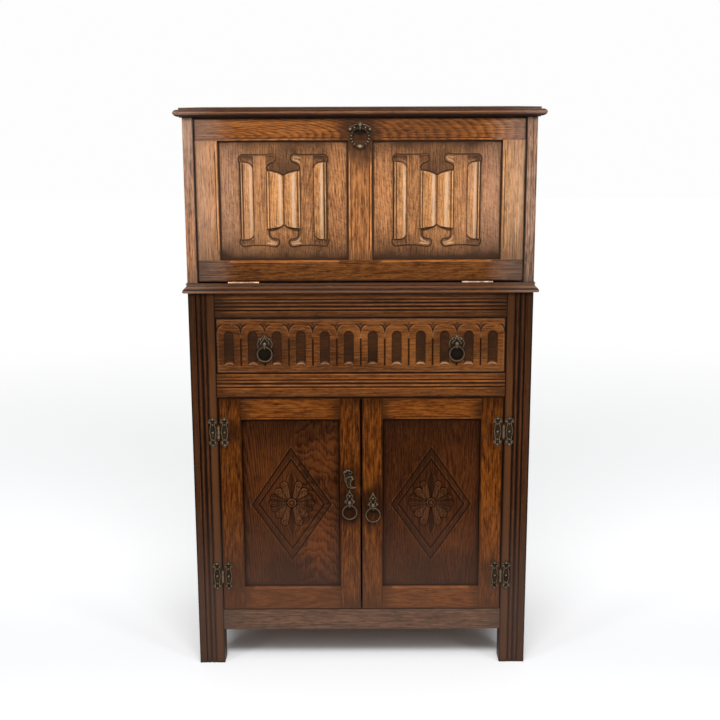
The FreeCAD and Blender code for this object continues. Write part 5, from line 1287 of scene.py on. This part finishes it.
METALS = {
    "fall_hinge_case_leaves": "brass",
    "fall_hinge_leaves": "brass",
    "hinge_pins": "bronze",
    "quadrant_stays": "steel",
    "stay_keepers": "steel",
}


def refinish(node, material):
    """Give a CAD node's object a finish in all of its slots."""
    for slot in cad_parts[node].material_slots:
        slot.material = material


class CABINET_OT_boards(bpy.types.Operator):
    """Polish the plain boards, rails and posts"""

    bl_idname = "cabinet.boards"
    bl_label = "Boards and posts"

    def execute(self, context):
        for seed, (node, row) in enumerate(BOARDS.items()):
            grain, facing, tone, shine, rough, heart, slope, pair, ends, dark, bands = row
            material = oak(
                f"{node} oak", tuple(getattr(context.scene.cabinet_oak, tone)), halfway(*box_mm(node)),
                grain, facing, pair, seed=seed * 0.71 + 0.3, heart=heart, slope=slope, shine=shine, rough=rough,
                ends=ends, end_dirt=dark, bands=bands, corner=0.4 if tone == "inside" else 0.8,
                patch=0.6 if tone == "door" else 0.3, streak=LIVELY_GRAIN.get(tone, 1.0),
                painted_sheen=BOARD_PAINTED_SHEENS.get(tone, ()), spots=STILE_SPOTS.get(node, ()),
                tint=UPPER_SIDE_TINT if node.startswith("upper_side") else None,
            )
            refinish(node, material)
        return {"FINISHED"}


class CABINET_OT_metalwork(bpy.types.Operator):
    """Finish the brass hinges, pins and stays"""

    bl_idname = "cabinet.metalwork"
    bl_label = "Hinges, pins and stays"

    def execute(self, context):
        finishes = {}
        for tone in ("brass", "bronze", "steel"):
            base = tuple(getattr(context.scene.cabinet_fittings, tone))
            finishes[tone] = cast_metal(f"drawn {tone}", base, shade(base, 1.7), carved=False)
        for node, tone in METALS.items():
            refinish(node, finishes[tone])
        return {"FINISHED"}


# ---------------------------------------------------------------- cast fittings


def both_sides(*rows):
    """Rows of a fitting's right half, each followed by its like on the left."""
    return [(sign * row[0], *row[1:]) for row in rows for sign in (1, -1)]


# Discs that make the cast plates: outwards or across, up, radius, mm.
HINGE_MIDDLE = 13.6
HINGE_LOBES = [(HINGE_MIDDLE, *row) for row in (
    (0, 8.6), (9, 7.4), (16, 5.4), (22, 5.2), (28.5, 5.6), (33, 3),
    (-9, 7.4), (-16, 5.4), (-22, 5.2), (-29, 5.4), (-33.5, 2.8),
)]
HINGE_LOBES += [
    (7.8, 26.5, 4), (5.4, 23.4, 2.6), (19.4, 26.5, 4), (21.8, 23.4, 2.6), (7.6, -25, 4.4), (19.6, -25, 4.4)
]
FALL_PLATE_LOBES = [(0, -2, 13), (0, 8, 6), *both_sides((11, -1, 8.5), (17.5, -3, 6.5), (21.5, -3, 4.4))]
DRAWER_PLATE_LOBES = [
    (0, -12, 19), (0, -24, 14), *both_sides((8, 6, 10), (9.5, 16, 5.5)), (0, 15, 8), (0, 22, 5)
]
DOOR_PLATE_LOBES = [
    (0, -6, 7), (0, 3, 7.5), *both_sides((7, 8, 4.6), (10.4, 6.2, 2.4)), (0, 14, 5.6),
    *both_sides((4.2, 20, 4.4)), (0, 24.5, 5.4), (0, 30, 3.2), (0, 34.5, 1.8),
]
CATCH_PLATE_LOBES = [(0, -2, 9), (-2, 7, 8), (-7, 15, 5.5), (-1, 18, 5.5), (5, 15.5, 4.5)]
CATCH_LEVER_LOBES = [
    (0, 0, 7), (6.5, 5, 5), (9.5, 1.5, 3.4), (0, -8, 6), (1, -15, 5.2), (6, -19.5, 3.4), (11, -20.5, 2.6),
    (16, -20, 2.0),
]
# Bosses: outwards or across, up, radius, rise, mm. Screws: the same, with the slot's angle for the rise.
HINGE_BOSSES = [
    (HINGE_MIDDLE, 31, 2.6, 1.0), (7.4, 24.5, 1.9, 0.8), (19.8, 24.5, 1.9, 0.8), (8.2, -24.8, 2.2, 1.0),
    (19.0, -24.8, 2.2, 1.0), (HINGE_MIDDLE, -30.5, 2.6, 1.0),
]
HINGE_SCREWS = [(HINGE_MIDDLE, 0, 2.4, 0.5), (HINGE_MIDDLE, 18, 1.8, 1.2), (HINGE_MIDDLE, -18, 1.8, 2.2)]
FALL_BOSSES = [(0, 8, 4.2, 1.5), *both_sides((12, 1, 2.4, 0.6), (21.5, -3, 3.2, 1.4))]
CROWN_BOSSES = [
    (0, 22.5, 2.4, 1.2),
    *both_sides(
        (2.6, 18.6, 2.0, 0.9), (10, 17.2, 2.4, 0.8), (4.6, 14.4, 1.8, 0.7), (7.6, 11.2, 2.0, 0.8),
        (9.4, 7.0, 1.8, 0.7),
    ),
]
DOOR_BOSSES = [(0, 22, 2.6, 1.2), (-8.6, 7.6, 2.4, 1.0), (8.6, 7.6, 2.4, 1.0), (0, 31, 2.0, 0.8)]
CATCH_BOSSES = [(-8, 17.5, 2.6, 0.9), (-3.5, 21, 2.8, 1.0), (2, 20.5, 2.6, 0.9)]
LEVER_BOSSES = [(8, 6, 2.8, 0.0), (10.4, 1.6, 2.2, 0.0), (13, -19.6, 1.8, 0.0), (16, -19.4, 1.6, 0.0)]
CAST_CREASE, RING_CREASE = 55, 60
SOFTNESS = 0.9  # how far the discs run into each other, mm


def lobe_depth(p, q, lobes):
    """How far inside a cast plate's outline each point lies; the discs run into each other softly."""
    total = sum(np.exp((radius - np.hypot(p - across, q - up)) / SOFTNESS) for across, up, radius in lobes)
    return SOFTNESS * np.log(np.maximum(total, 1e-12))


def cast_plate(bm, lobes, middle, face, thickness, bosses, screws=(), painted_shade_from=None):
    """A cast plate on a face: a grid cut to the plate's outline, rounded, raised at its rim and bosses, and backed;
    dark patina in its hollows, wear and painted highlights on its rim, bosses and screws.

    Below the painted shade line, where the ring hangs over it, it is painted dark as shade.
    """
    pitch, rim = bpy.context.scene.cabinet_fittings.pitch, bpy.context.scene.cabinet_fittings.rim
    spans = []
    for axis in (0, 1):
        lowest = min(lobe[axis] - lobe[2] for lobe in lobes) - 2
        spans.append(spaced([lowest, max(lobe[axis] + lobe[2] for lobe in lobes) + 2], pitch))
    sheet = bmesh.new()
    p, q = grid_points(sheet, *spans)
    depth = lobe_depth(p, q, lobes)
    tiny = 0.05
    slope_p = (lobe_depth(p + tiny, q, lobes) - depth) / tiny
    slope_q = (lobe_depth(p, q + tiny, lobes) - depth) / tiny
    gone = depth <= -0.8 * pitch
    outside = (depth < 0) & ~gone
    p = np.where(outside, p - slope_p * depth, p)
    q = np.where(outside, q - slope_q * depth, q)
    depth = np.where(outside, 0, depth)
    rim_band = bump(depth, rim * 0.75, rim * 0.75)
    height = thickness * (0.35 + 0.45 * rounded(depth, 1.6)) + 0.2 * thickness * rim_band
    dirt = 0.75 * bump(depth, rim * 2.1, rim * 1.1)
    wear = 0.45 * rim_band
    if painted_shade_from is not None:
        out_of_shade = step(painted_shade_from - 6, painted_shade_from, q)
        dirt = np.maximum(dirt, 0.95 * (1 - out_of_shade))
        wear = wear * out_of_shade
    for across, up, radius, rise in bosses:
        away = np.hypot(p - across, q - up)
        dome = bump(away, 0, radius) ** 0.5
        height = np.maximum(height, thickness * 0.7 + rise * dome)
        wear = np.maximum(wear, 0.9 * dome**2)
        dirt = np.where(dome > 0, 0.6 * (1 - dome), np.maximum(dirt, 0.7 * bump(away, radius + 0.8, 1.2)))
    for across, up, radius, angle in screws:
        away = np.hypot(p - across, q - up)
        on_head = away < radius
        cut = np.abs((p - across) * math.cos(angle) + (q - up) * math.sin(angle)) < pitch * 0.6
        height = np.where(on_head, thickness * 0.8 + 0.7 * bump(away, 0, radius) ** 0.5 - 0.7 * cut, height)
        wear = np.where(on_head, 0.85 * (1 - cut), wear)
        dirt = np.where(on_head, 0.9 * cut, np.maximum(dirt, 0.8 * bump(away, radius + 0.7, 1.0)))
    press(sheet, p + middle[0], face, q + middle[1], (height, dirt, wear))
    sheet.verts.ensure_lookup_table()
    lost = [sheet.verts[index] for index in np.nonzero(gone)[0]]
    bmesh.ops.delete(sheet, geom=lost, context="VERTS")
    loose = [vert for vert in sheet.verts if not vert.link_faces]
    bmesh.ops.delete(sheet, geom=loose, context="VERTS")
    for part in bmesh.ops.extrude_face_region(sheet, geom=list(sheet.faces), use_keep_orig=True)["geom"]:
        if isinstance(part, bmesh.types.BMVert):
            part.co.y = face
    bmesh.ops.recalc_face_normals(sheet, faces=sheet.faces)
    join_into(bm, sheet)


def set_marks(bm, rule):
    """Dirt and painted shade, wear and painted highlights, for every point by a rule of its place."""
    dirt_and_shade_layer, wear_and_highlight_layer = mark_layers(bm)
    for vert in bm.verts:
        vert[dirt_and_shade_layer], vert[wear_and_highlight_layer] = rule(vert.co)


def spun(bm, geom, centre, axis, steps, doubles):
    bmesh.ops.spin(bm, geom=geom, cent=centre, axis=axis, angle=math.tau, steps=steps, use_merge=True)
    bmesh.ops.remove_doubles(bm, verts=bm.verts, dist=doubles)


def turned(bm, profile, centre, axis, steps=24):
    """Turn a profile of (radius, along) points about an axis into a closed shape."""
    axis = Vector(axis)
    side = axis.orthogonal().normalized()
    made = bmesh.new()
    verts = [made.verts.new(Vector(centre) + side * radius + axis * along) for radius, along in profile]
    edges = [made.edges.new(pair) for pair in zip(verts, verts[1:])]
    spun(made, verts + edges, centre, axis, steps, 0.01)
    set_marks(made, lambda co: (0.15, 0.55))
    bmesh.ops.recalc_face_normals(made, faces=made.faces)
    join_into(bm, made)


def hoop(bm, centre, radius, axis, wire, girth, steps, sides, marks):
    """A ring about an axis whose thickness follows its angle from straight down, turned clockwise."""
    axis, middle, down = Vector(axis), Vector(centre), Vector((0, 0, -1))
    side = axis.cross(down)
    made = bmesh.new()
    turn = Matrix((down, axis, side)).transposed().to_4x4()
    spot = Matrix.Translation(middle + down * radius) @ turn
    circle = bmesh.ops.create_circle(made, segments=sides, radius=wire, matrix=spot)["verts"]
    edges = list({edge for vert in circle for edge in vert.link_edges})
    spun(made, circle + edges, centre, axis, steps, 0.005)

    def place_on(co):
        """The angle about the axis, the nearest place on the wire's middle, and how far out on the wire."""
        arm = co - middle
        flat = arm - axis * arm.dot(axis)
        angle = math.atan2(flat.dot(side), flat.dot(down))
        return angle, middle + flat.normalized() * radius, (flat.length - radius) / wire

    for vert in made.verts:
        angle, line, _ = place_on(vert.co)
        vert.co = line + (vert.co - line) * girth(angle)

    def mark(co):
        angle, _, outer = place_on(co)
        return marks(angle, outer)

    set_marks(made, mark)
    bmesh.ops.recalc_face_normals(made, faces=made.faces)
    join_into(bm, made)


def block(bm, size, middle):
    verts = bmesh.ops.create_cube(bm, size=1)["verts"]
    bmesh.ops.scale(bm, vec=size, verts=verts)
    bmesh.ops.translate(bm, vec=middle, verts=verts)
    return verts


def door_face():
    return box_mm("left_door_stiles")[0][1]


def bronze_finish(context):
    fittings = context.scene.cabinet_fittings
    made = bpy.data.materials.get("cast bronze")
    return made or cast_metal("cast bronze", tuple(fittings.bronze), tuple(fittings.bronze_worn_and_lit))


# Door hinges, mm: pins across and forward, heights, knuckles along the pins.
HINGE_AXIS, HINGE_HEIGHTS = (329.25, -194.2), (576.8, 222.8)
POST_KNUCKLES, DOOR_KNUCKLES = ((-15, -5.15), (5.15, 15)), ((-4.85, 4.85),)
# Piece: body, node, the sides that it is on, and whether it lies outside the pins (1) or inside (-1).
HINGE_PLATES = {
    "post_hinge_plates": ("carcass", "post_hinge_leaves", (-1, 1), 1),
    "left_door_hinge_plates": ("left_door", "left_door_hinge_leaves", (-1,), -1),
    "right_door_hinge_plates": ("right_door", "right_door_hinge_leaves", (1,), -1),
}


class CABINET_OT_door_hinges(bpy.types.Operator):
    """Cast the surface hinges of the doors"""

    bl_idname = "cabinet.door_hinges"
    bl_label = "Door hinges"

    def execute(self, context):
        face = door_face()
        for name, (body, node, signs, outward) in HINGE_PLATES.items():
            bm = bmesh.new()
            for sign, z in ((sign, z) for sign in signs for z in HINGE_HEIGHTS):
                toward = sign * outward
                lobes, bosses, screws = (
                    [(out * toward, *rest) for out, *rest in rows]
                    for rows in (HINGE_LOBES, HINGE_BOSSES, HINGE_SCREWS)
                )
                x = HINGE_AXIS[0] * sign
                cast_plate(bm, lobes, (x, z), face, 2.0, bosses, screws)
                for low, high in POST_KNUCKLES if outward > 0 else DOOR_KNUCKLES:
                    end = [(0.0, low), (2.5, low), (3.0, low + 0.6)]
                    profile = end + [(3.0, high - 0.6), (2.5, high), (0.0, high)]
                    turned(bm, profile, (x, HINGE_AXIS[1], z), (0, 0, 1))
                    middle = (x + toward * 3.0, face - 1.2, z + (low + high) / 2)
                    block(bm, (5.6, 1.6, high - low - 0.4), middle)
            finish_piece(bm, name, body, bronze_finish(context), node, CAST_CREASE)
        return {"FINISHED"}


# Pulls: where the rings hang, across and up, mm.
FALL_PULL, LEFT_PULL, RIGHT_PULL = (0, 1266.8), (-27.3, 400), (27.3, 393.5)
DRAWER_PULLS = ((-218.5, 778.5), (218.5, 778.5))
PULL_AXIS = -200.0
# Piece: body, node, lobes, places, bosses.
PULLS = {
    "fall_pull": ("fall_front", "fall_pull_plate", FALL_PLATE_LOBES, (FALL_PULL,), FALL_BOSSES),
    "drawer_pulls": ("drawer", "drawer_pull_plates", DRAWER_PLATE_LOBES, DRAWER_PULLS, CROWN_BOSSES),
    "left_door_pull": ("left_door", "left_door_pull_plate", DOOR_PLATE_LOBES, (LEFT_PULL,), DOOR_BOSSES),
    "right_door_pull": ("right_door", "right_door_pull_plate", DOOR_PLATE_LOBES, (RIGHT_PULL,), DOOR_BOSSES),
}
# Profiles from a plate outwards: radius, along, mm.
NECK = [(0.0, 0.0), (4.6, 0.0), (3.4, 1.6), (2.6, 3.2), (2.4, 5.6), (0.0, 5.6)]
KNOB = [(0.0, 0.0), (3.4, 0.0), (3.0, 4.2), (4.4, 6.4), (4.6, 8.2), (3.6, 10.0), (1.8, 11.0), (0.0, 11.3)]
EYE_RADIUS, EYE_WIRE = 4.25, 1.3
# Piece: body, node, where it hangs, radius, wire, mm.
RINGS = {
    "fall_ring_pull": ("fall_ring", "fall_pull_ring", FALL_PULL, 19.6, 2.1),
    "drawer_ring_pull_left": ("drawer_ring_left", "drawer_pull_ring_left", DRAWER_PULLS[0], 15.9, 2.0),
    "drawer_ring_pull_right": ("drawer_ring_right", "drawer_pull_ring_right", DRAWER_PULLS[1], 15.9, 2.0),
    "left_door_ring_pull": ("left_door_ring", "left_door_pull_ring", LEFT_PULL, 15.9, 2.0),
    "right_door_ring_pull": ("right_door_ring", "right_door_pull_ring", RIGHT_PULL, 15.9, 2.0),
}


class CABINET_OT_pulls(bpy.types.Operator):
    """Cast the pull plates with their eyes"""

    bl_idname = "cabinet.pulls"
    bl_label = "Pull plates"

    def execute(self, context):
        face = door_face()
        for name, (body, node, lobes, places, bosses) in PULLS.items():
            bm = bmesh.new()
            for x, z in places:
                cast_plate(bm, lobes, (x, z), face, 2.5, bosses, painted_shade_from=-1)
                turned(bm, NECK, (x, face - 1.6, z), (0, -1, 0))
                hoop(
                    bm, (x, PULL_AXIS, z), EYE_RADIUS, (1, 0, 0), EYE_WIRE, lambda angle: 1.0, 32, 12,
                    lambda angle, outer: (0.2, 0.4),
                )
                turned(bm, KNOB, (x, face - 1.4, z + 7.4), (0, -1, 0))
            finish_piece(bm, name, body, bronze_finish(context), node, CAST_CREASE)
        return {"FINISHED"}


def bead_parts(angle):
    """How much of the knob, of the beaded sides and of a bead is at an angle of the fall's ring."""
    knob = math.exp(-((angle / 0.26) ** 4))
    side = math.exp(-(((abs(angle) - 1.3) / 0.8) ** 2))
    return knob, side, side * math.cos(angle * 18)


class CABINET_OT_rings(bpy.types.Operator):
    """Forge the rings of the pulls"""

    bl_idname = "cabinet.rings"
    bl_label = "Rings"

    def execute(self, context):
        swell = context.scene.cabinet_fittings.bulb

        def beaded_girth(angle):
            knob, side, bead = bead_parts(angle)
            return 0.9 + 0.3 * side + 0.2 * bead + (swell - 0.9) * knob

        # Painted highlights on the knob and beads, painted shade between the beads.
        def beaded_marks(angle, outer):
            knob, side, bead = bead_parts(angle)
            dirt = 0.75 - 0.75 * knob - 0.6 * bead - 0.3 * side
            return max(0.0, dirt), min(1.0, 0.25 + 0.5 * bead + 0.75 * knob)

        def plain_girth(angle):
            return 1.03 + 0.17 * math.cos(angle)

        # Painted highlight on the wire's outer side, painted shade on its inner side.
        def plain_marks(angle, outer):
            rubbed_and_lit = min(1.0, max(0.0, 0.45 + 0.7 * outer))
            return 0.6 * (1 - rubbed_and_lit), rubbed_and_lit * (0.62 + 0.2 * math.cos(angle))

        for name, (body, node, (x, z), radius, wire) in RINGS.items():
            beaded = name.startswith("fall")
            girth, marks, steps = (beaded_girth, beaded_marks, 144) if beaded else (plain_girth, plain_marks, 72)
            bm = bmesh.new()
            hoop(bm, (x, PULL_AXIS, z - radius), radius, (0, 1, 0), wire, girth, steps, 14, marks)
            finish_piece(bm, name, body, bronze_finish(context), node, RING_CREASE)
        return {"FINISHED"}


# Catch, mm: spindle across and up, back of the lever, spindle's profile from its front.
CATCH_PIVOT, LEVER_BACK = (-30, 463), -193.9
SPINDLE, SPINDLE_FRONT = [(0.0, 0.0), (2.9, 0.0), (2.9, 28.5), (0.0, 28.5)], -194.2
# Cam behind the door, mm: width, thickness and height, middle forward, middle below the spindle.
CAM, CAM_MIDDLE, CAM_DROP = (10, 3, 49), -166.5, 19.5


class CABINET_OT_catch(bpy.types.Operator):
    """Cast the catch on the left door"""

    bl_idname = "cabinet.catch"
    bl_label = "Catch"

    def execute(self, context):
        x, z = CATCH_PIVOT
        bm = bmesh.new()
        cast_plate(bm, CATCH_PLATE_LOBES, CATCH_PIVOT, door_face(), 2.5, CATCH_BOSSES)
        finish_piece(bm, "catch_rose", "left_door", bronze_finish(context), "catch_plate", CAST_CREASE)
        bm = bmesh.new()
        cast_plate(bm, CATCH_LEVER_LOBES, CATCH_PIVOT, LEVER_BACK, 4.0, LEVER_BOSSES)
        turned(bm, SPINDLE, (x, SPINDLE_FRONT, z), (0, 1, 0), 20)
        cam = block(bm, CAM, (x, CAM_MIDDLE, z - CAM_DROP))
        edges = list({edge for vert in cam for edge in vert.link_edges})
        bmesh.ops.bevel(
            bm, geom=edges, offset=0.8, offset_type="OFFSET", affect="EDGES", segments=2, profile=0.5, material=-1
        )
        finish_piece(bm, "catch_lever", "catch", bronze_finish(context), "catch_turn", CAST_CREASE)
        return {"FINISHED"}


# ---------------------------------------------------------------- stage

# Soft boxes: name, place, what they are turned to, width and height in metres, share of the power.
SOFT_BOXES = (
    ("above", (0, -2.15, 2.65), (0, -0.19, 0.62), (1.7, 0.7), 1.0),
    ("left", (-1.9, -2.0, 1.6), (-0.1, -0.19, 0.8), (0.45, 1.2), 0.25),
    ("right", (1.9, -2.0, 1.6), (0.1, -0.19, 0.8), (0.45, 1.2), 0.25),
)
BOX_COLOUR, ROOM_COLOUR = (1.0, 0.975, 0.965), (1.0, 0.985, 0.965, 1)
BLACK, BACKDROP_COLOUR = (0, 0, 0, 1), (0.985, 0.985, 0.985, 1)
FLOOR_HALF, SENSOR = 14, 36


class CABINET_OT_stage(bpy.types.Operator):
    """Set the floor, the light and the camera"""

    bl_idname = "cabinet.stage"
    bl_label = "Stage"

    def execute(self, context):
        scene, settings = context.scene, context.scene.cabinet_stage
        scene.view_settings.view_transform = "Standard"
        self.floor(scene, settings)
        self.room(scene, settings)
        self.lights(scene, settings)
        self.camera(scene, settings)
        return {"FINISHED"}

    def floor(self, scene, settings):
        """A pale floor that is lifted beside and behind the cabinet and white far off."""
        bm = bmesh.new()
        bmesh.ops.create_grid(bm, x_segments=8, y_segments=8, size=FLOOR_HALF)
        mesh = bpy.data.meshes.new("floor")
        bm.to_mesh(mesh)
        bm.free()
        floor = bpy.data.objects.new("floor", mesh)
        scene.collection.objects.link(floor)
        material, s = new_material("pale floor")
        place = s.node("ShaderNodeTexCoord").outputs["Object"]
        far = s.span(s.vector("LENGTH", s.vector("MULTIPLY", place, (0.8, 1.0, 0))), 1.3, 4.0)
        path = s.node("ShaderNodeLightPath").outputs
        seen = s.plus(path["Is Camera Ray"], path["Is Glossy Ray"])
        seen = s.plus(seen, path["Is Transmission Ray"], clamp=True)
        x, y, _ = s.parts(place)
        beside = s.minus(s.math("ABSOLUTE", x), 0.35)
        before = s.minus(s.math("ABSOLUTE", s.minus(y, 0.01)), 0.14)
        lift = s.span(s.larger(beside, before), -0.04, 0.05)
        lift = s.times(lift, s.span(y, -0.25, 0.6, 0.3, 0.54))
        paint = s.fed("ShaderNodeBsdfDiffuse", (*settings.floor, 1))[0]
        glow = s.fed("ShaderNodeEmission", (1, 1, 1, 1), s.times(seen, lift))[0]
        white = s.fed("ShaderNodeEmission", (1, 1, 1, 1), 1.0)[0]
        near = s.fed("ShaderNodeAddShader", paint, glow)[0]
        s.end("ShaderNodeOutputMaterial", s.fed("ShaderNodeMixShader", s.times(far, seen), near, white)[0])
        mesh.materials.append(material)

    def room(self, scene, settings):
        """Soft light all round; the camera sees a white backdrop, and reflections see it only behind."""
        world = bpy.data.worlds.new("studio")
        scene.world = world
        world.use_nodes = True
        s = Finish(world.node_tree)
        path = s.node("ShaderNodeLightPath").outputs
        mirrored = s.plus(path["Is Glossy Ray"], path["Is Transmission Ray"], clamp=True)
        toward = s.parts(s.node("ShaderNodeTexCoord").outputs["Generated"])
        shown = s.times(mirrored, s.span(toward[1], -0.5, 0.3, 0.05, 1.0))
        shown = s.plus(path["Is Camera Ray"], shown, clamp=True)
        room, dark, backdrop = (
            s.fed("ShaderNodeBackground", tone, strength)[0]
            for tone, strength in ((ROOM_COLOUR, settings.room), (BLACK, 0.0), (BACKDROP_COLOUR, 1.0))
        )
        unlit = s.fed("ShaderNodeMixShader", mirrored, room, dark)[0]
        s.end("ShaderNodeOutputWorld", s.fed("ShaderNodeMixShader", shown, unlit, backdrop)[0])

    def lights(self, scene, settings):
        for name, place, aim, size, part in SOFT_BOXES:
            light = bpy.data.lights.new(f"soft_box_{name}", "AREA")
            light.shape = "RECTANGLE"
            light.size, light.size_y = size
            light.energy = settings.box_power * part
            light.color = BOX_COLOUR
            lamp = bpy.data.objects.new(f"soft_box_{name}", light)
            lamp.location = place
            lamp.rotation_euler = (Vector(aim) - lamp.location).to_track_quat("-Z", "Y").to_euler()
            lamp.visible_camera = False
            scene.collection.objects.link(lamp)

    def camera(self, scene, settings):
        lens = bpy.data.cameras.new("view")
        lens.lens = settings.lens
        lens.sensor_width = SENSOR
        camera = bpy.data.objects.new("view", lens)
        camera.location = (0, -settings.distance, settings.height)
        turn = Matrix.Rotation(settings.swing, 3, "Z") @ Matrix.Rotation(math.pi / 2 - settings.tilt, 3, "X")
        camera.rotation_euler = (turn @ Matrix.Rotation(settings.roll, 3, "Z")).to_euler()
        scene.collection.objects.link(camera)
        scene.camera = camera


class CABINET_PT_dressing(bpy.types.Panel):
    """Lists the cabinet's steps and their settings"""

    bl_label = "Oak bar cabinet"
    bl_idname = "CABINET_PT_dressing"
    bl_space_type = "VIEW_3D"
    bl_region_type = "UI"
    bl_category = "Cabinet"

    def draw(self, context):
        for operator in OPERATORS:
            self.layout.operator(operator.bl_idname)
        for group in GROUPS:
            settings = getattr(context.scene, group)
            column = self.layout.box().column()
            for key in settings.__annotations__:
                column.prop(settings, key)


GROUPS = {
    "cabinet_oak": OakFinish,
    "cabinet_carving": CarvingSizes,
    "cabinet_fittings": FittingSizes,
    "cabinet_stage": StageSettings,
}
OPERATORS = (
    CABINET_OT_stage,
    CABINET_OT_boards,
    CABINET_OT_metalwork,
    CABINET_OT_framework,
    CABINET_OT_fold_panels,
    CABINET_OT_drawer_front,
    CABINET_OT_door_panels,
    CABINET_OT_door_hinges,
    CABINET_OT_pulls,
    CABINET_OT_rings,
    CABINET_OT_catch,
)


def register():
    for kind in (*GROUPS.values(), *OPERATORS, CABINET_PT_dressing):
        bpy.utils.register_class(kind)
    for name, kind in GROUPS.items():
        setattr(bpy.types.Scene, name, bpy.props.PointerProperty(type=kind))


def unregister():
    for name in GROUPS:
        delattr(bpy.types.Scene, name)
    for kind in reversed((*GROUPS.values(), *OPERATORS, CABINET_PT_dressing)):
        bpy.utils.unregister_class(kind)


def main():
    register()
    bpy.ops.cabinet.stage()
    bpy.ops.cabinet.boards()
    bpy.ops.cabinet.metalwork()
    bpy.ops.cabinet.framework()
    bpy.ops.cabinet.fold_panels()
    bpy.ops.cabinet.drawer_front()
    bpy.ops.cabinet.door_panels()
    bpy.ops.cabinet.door_hinges()
    bpy.ops.cabinet.pulls()
    bpy.ops.cabinet.rings()
    bpy.ops.cabinet.catch()


if __name__ == "__main__":
    main()
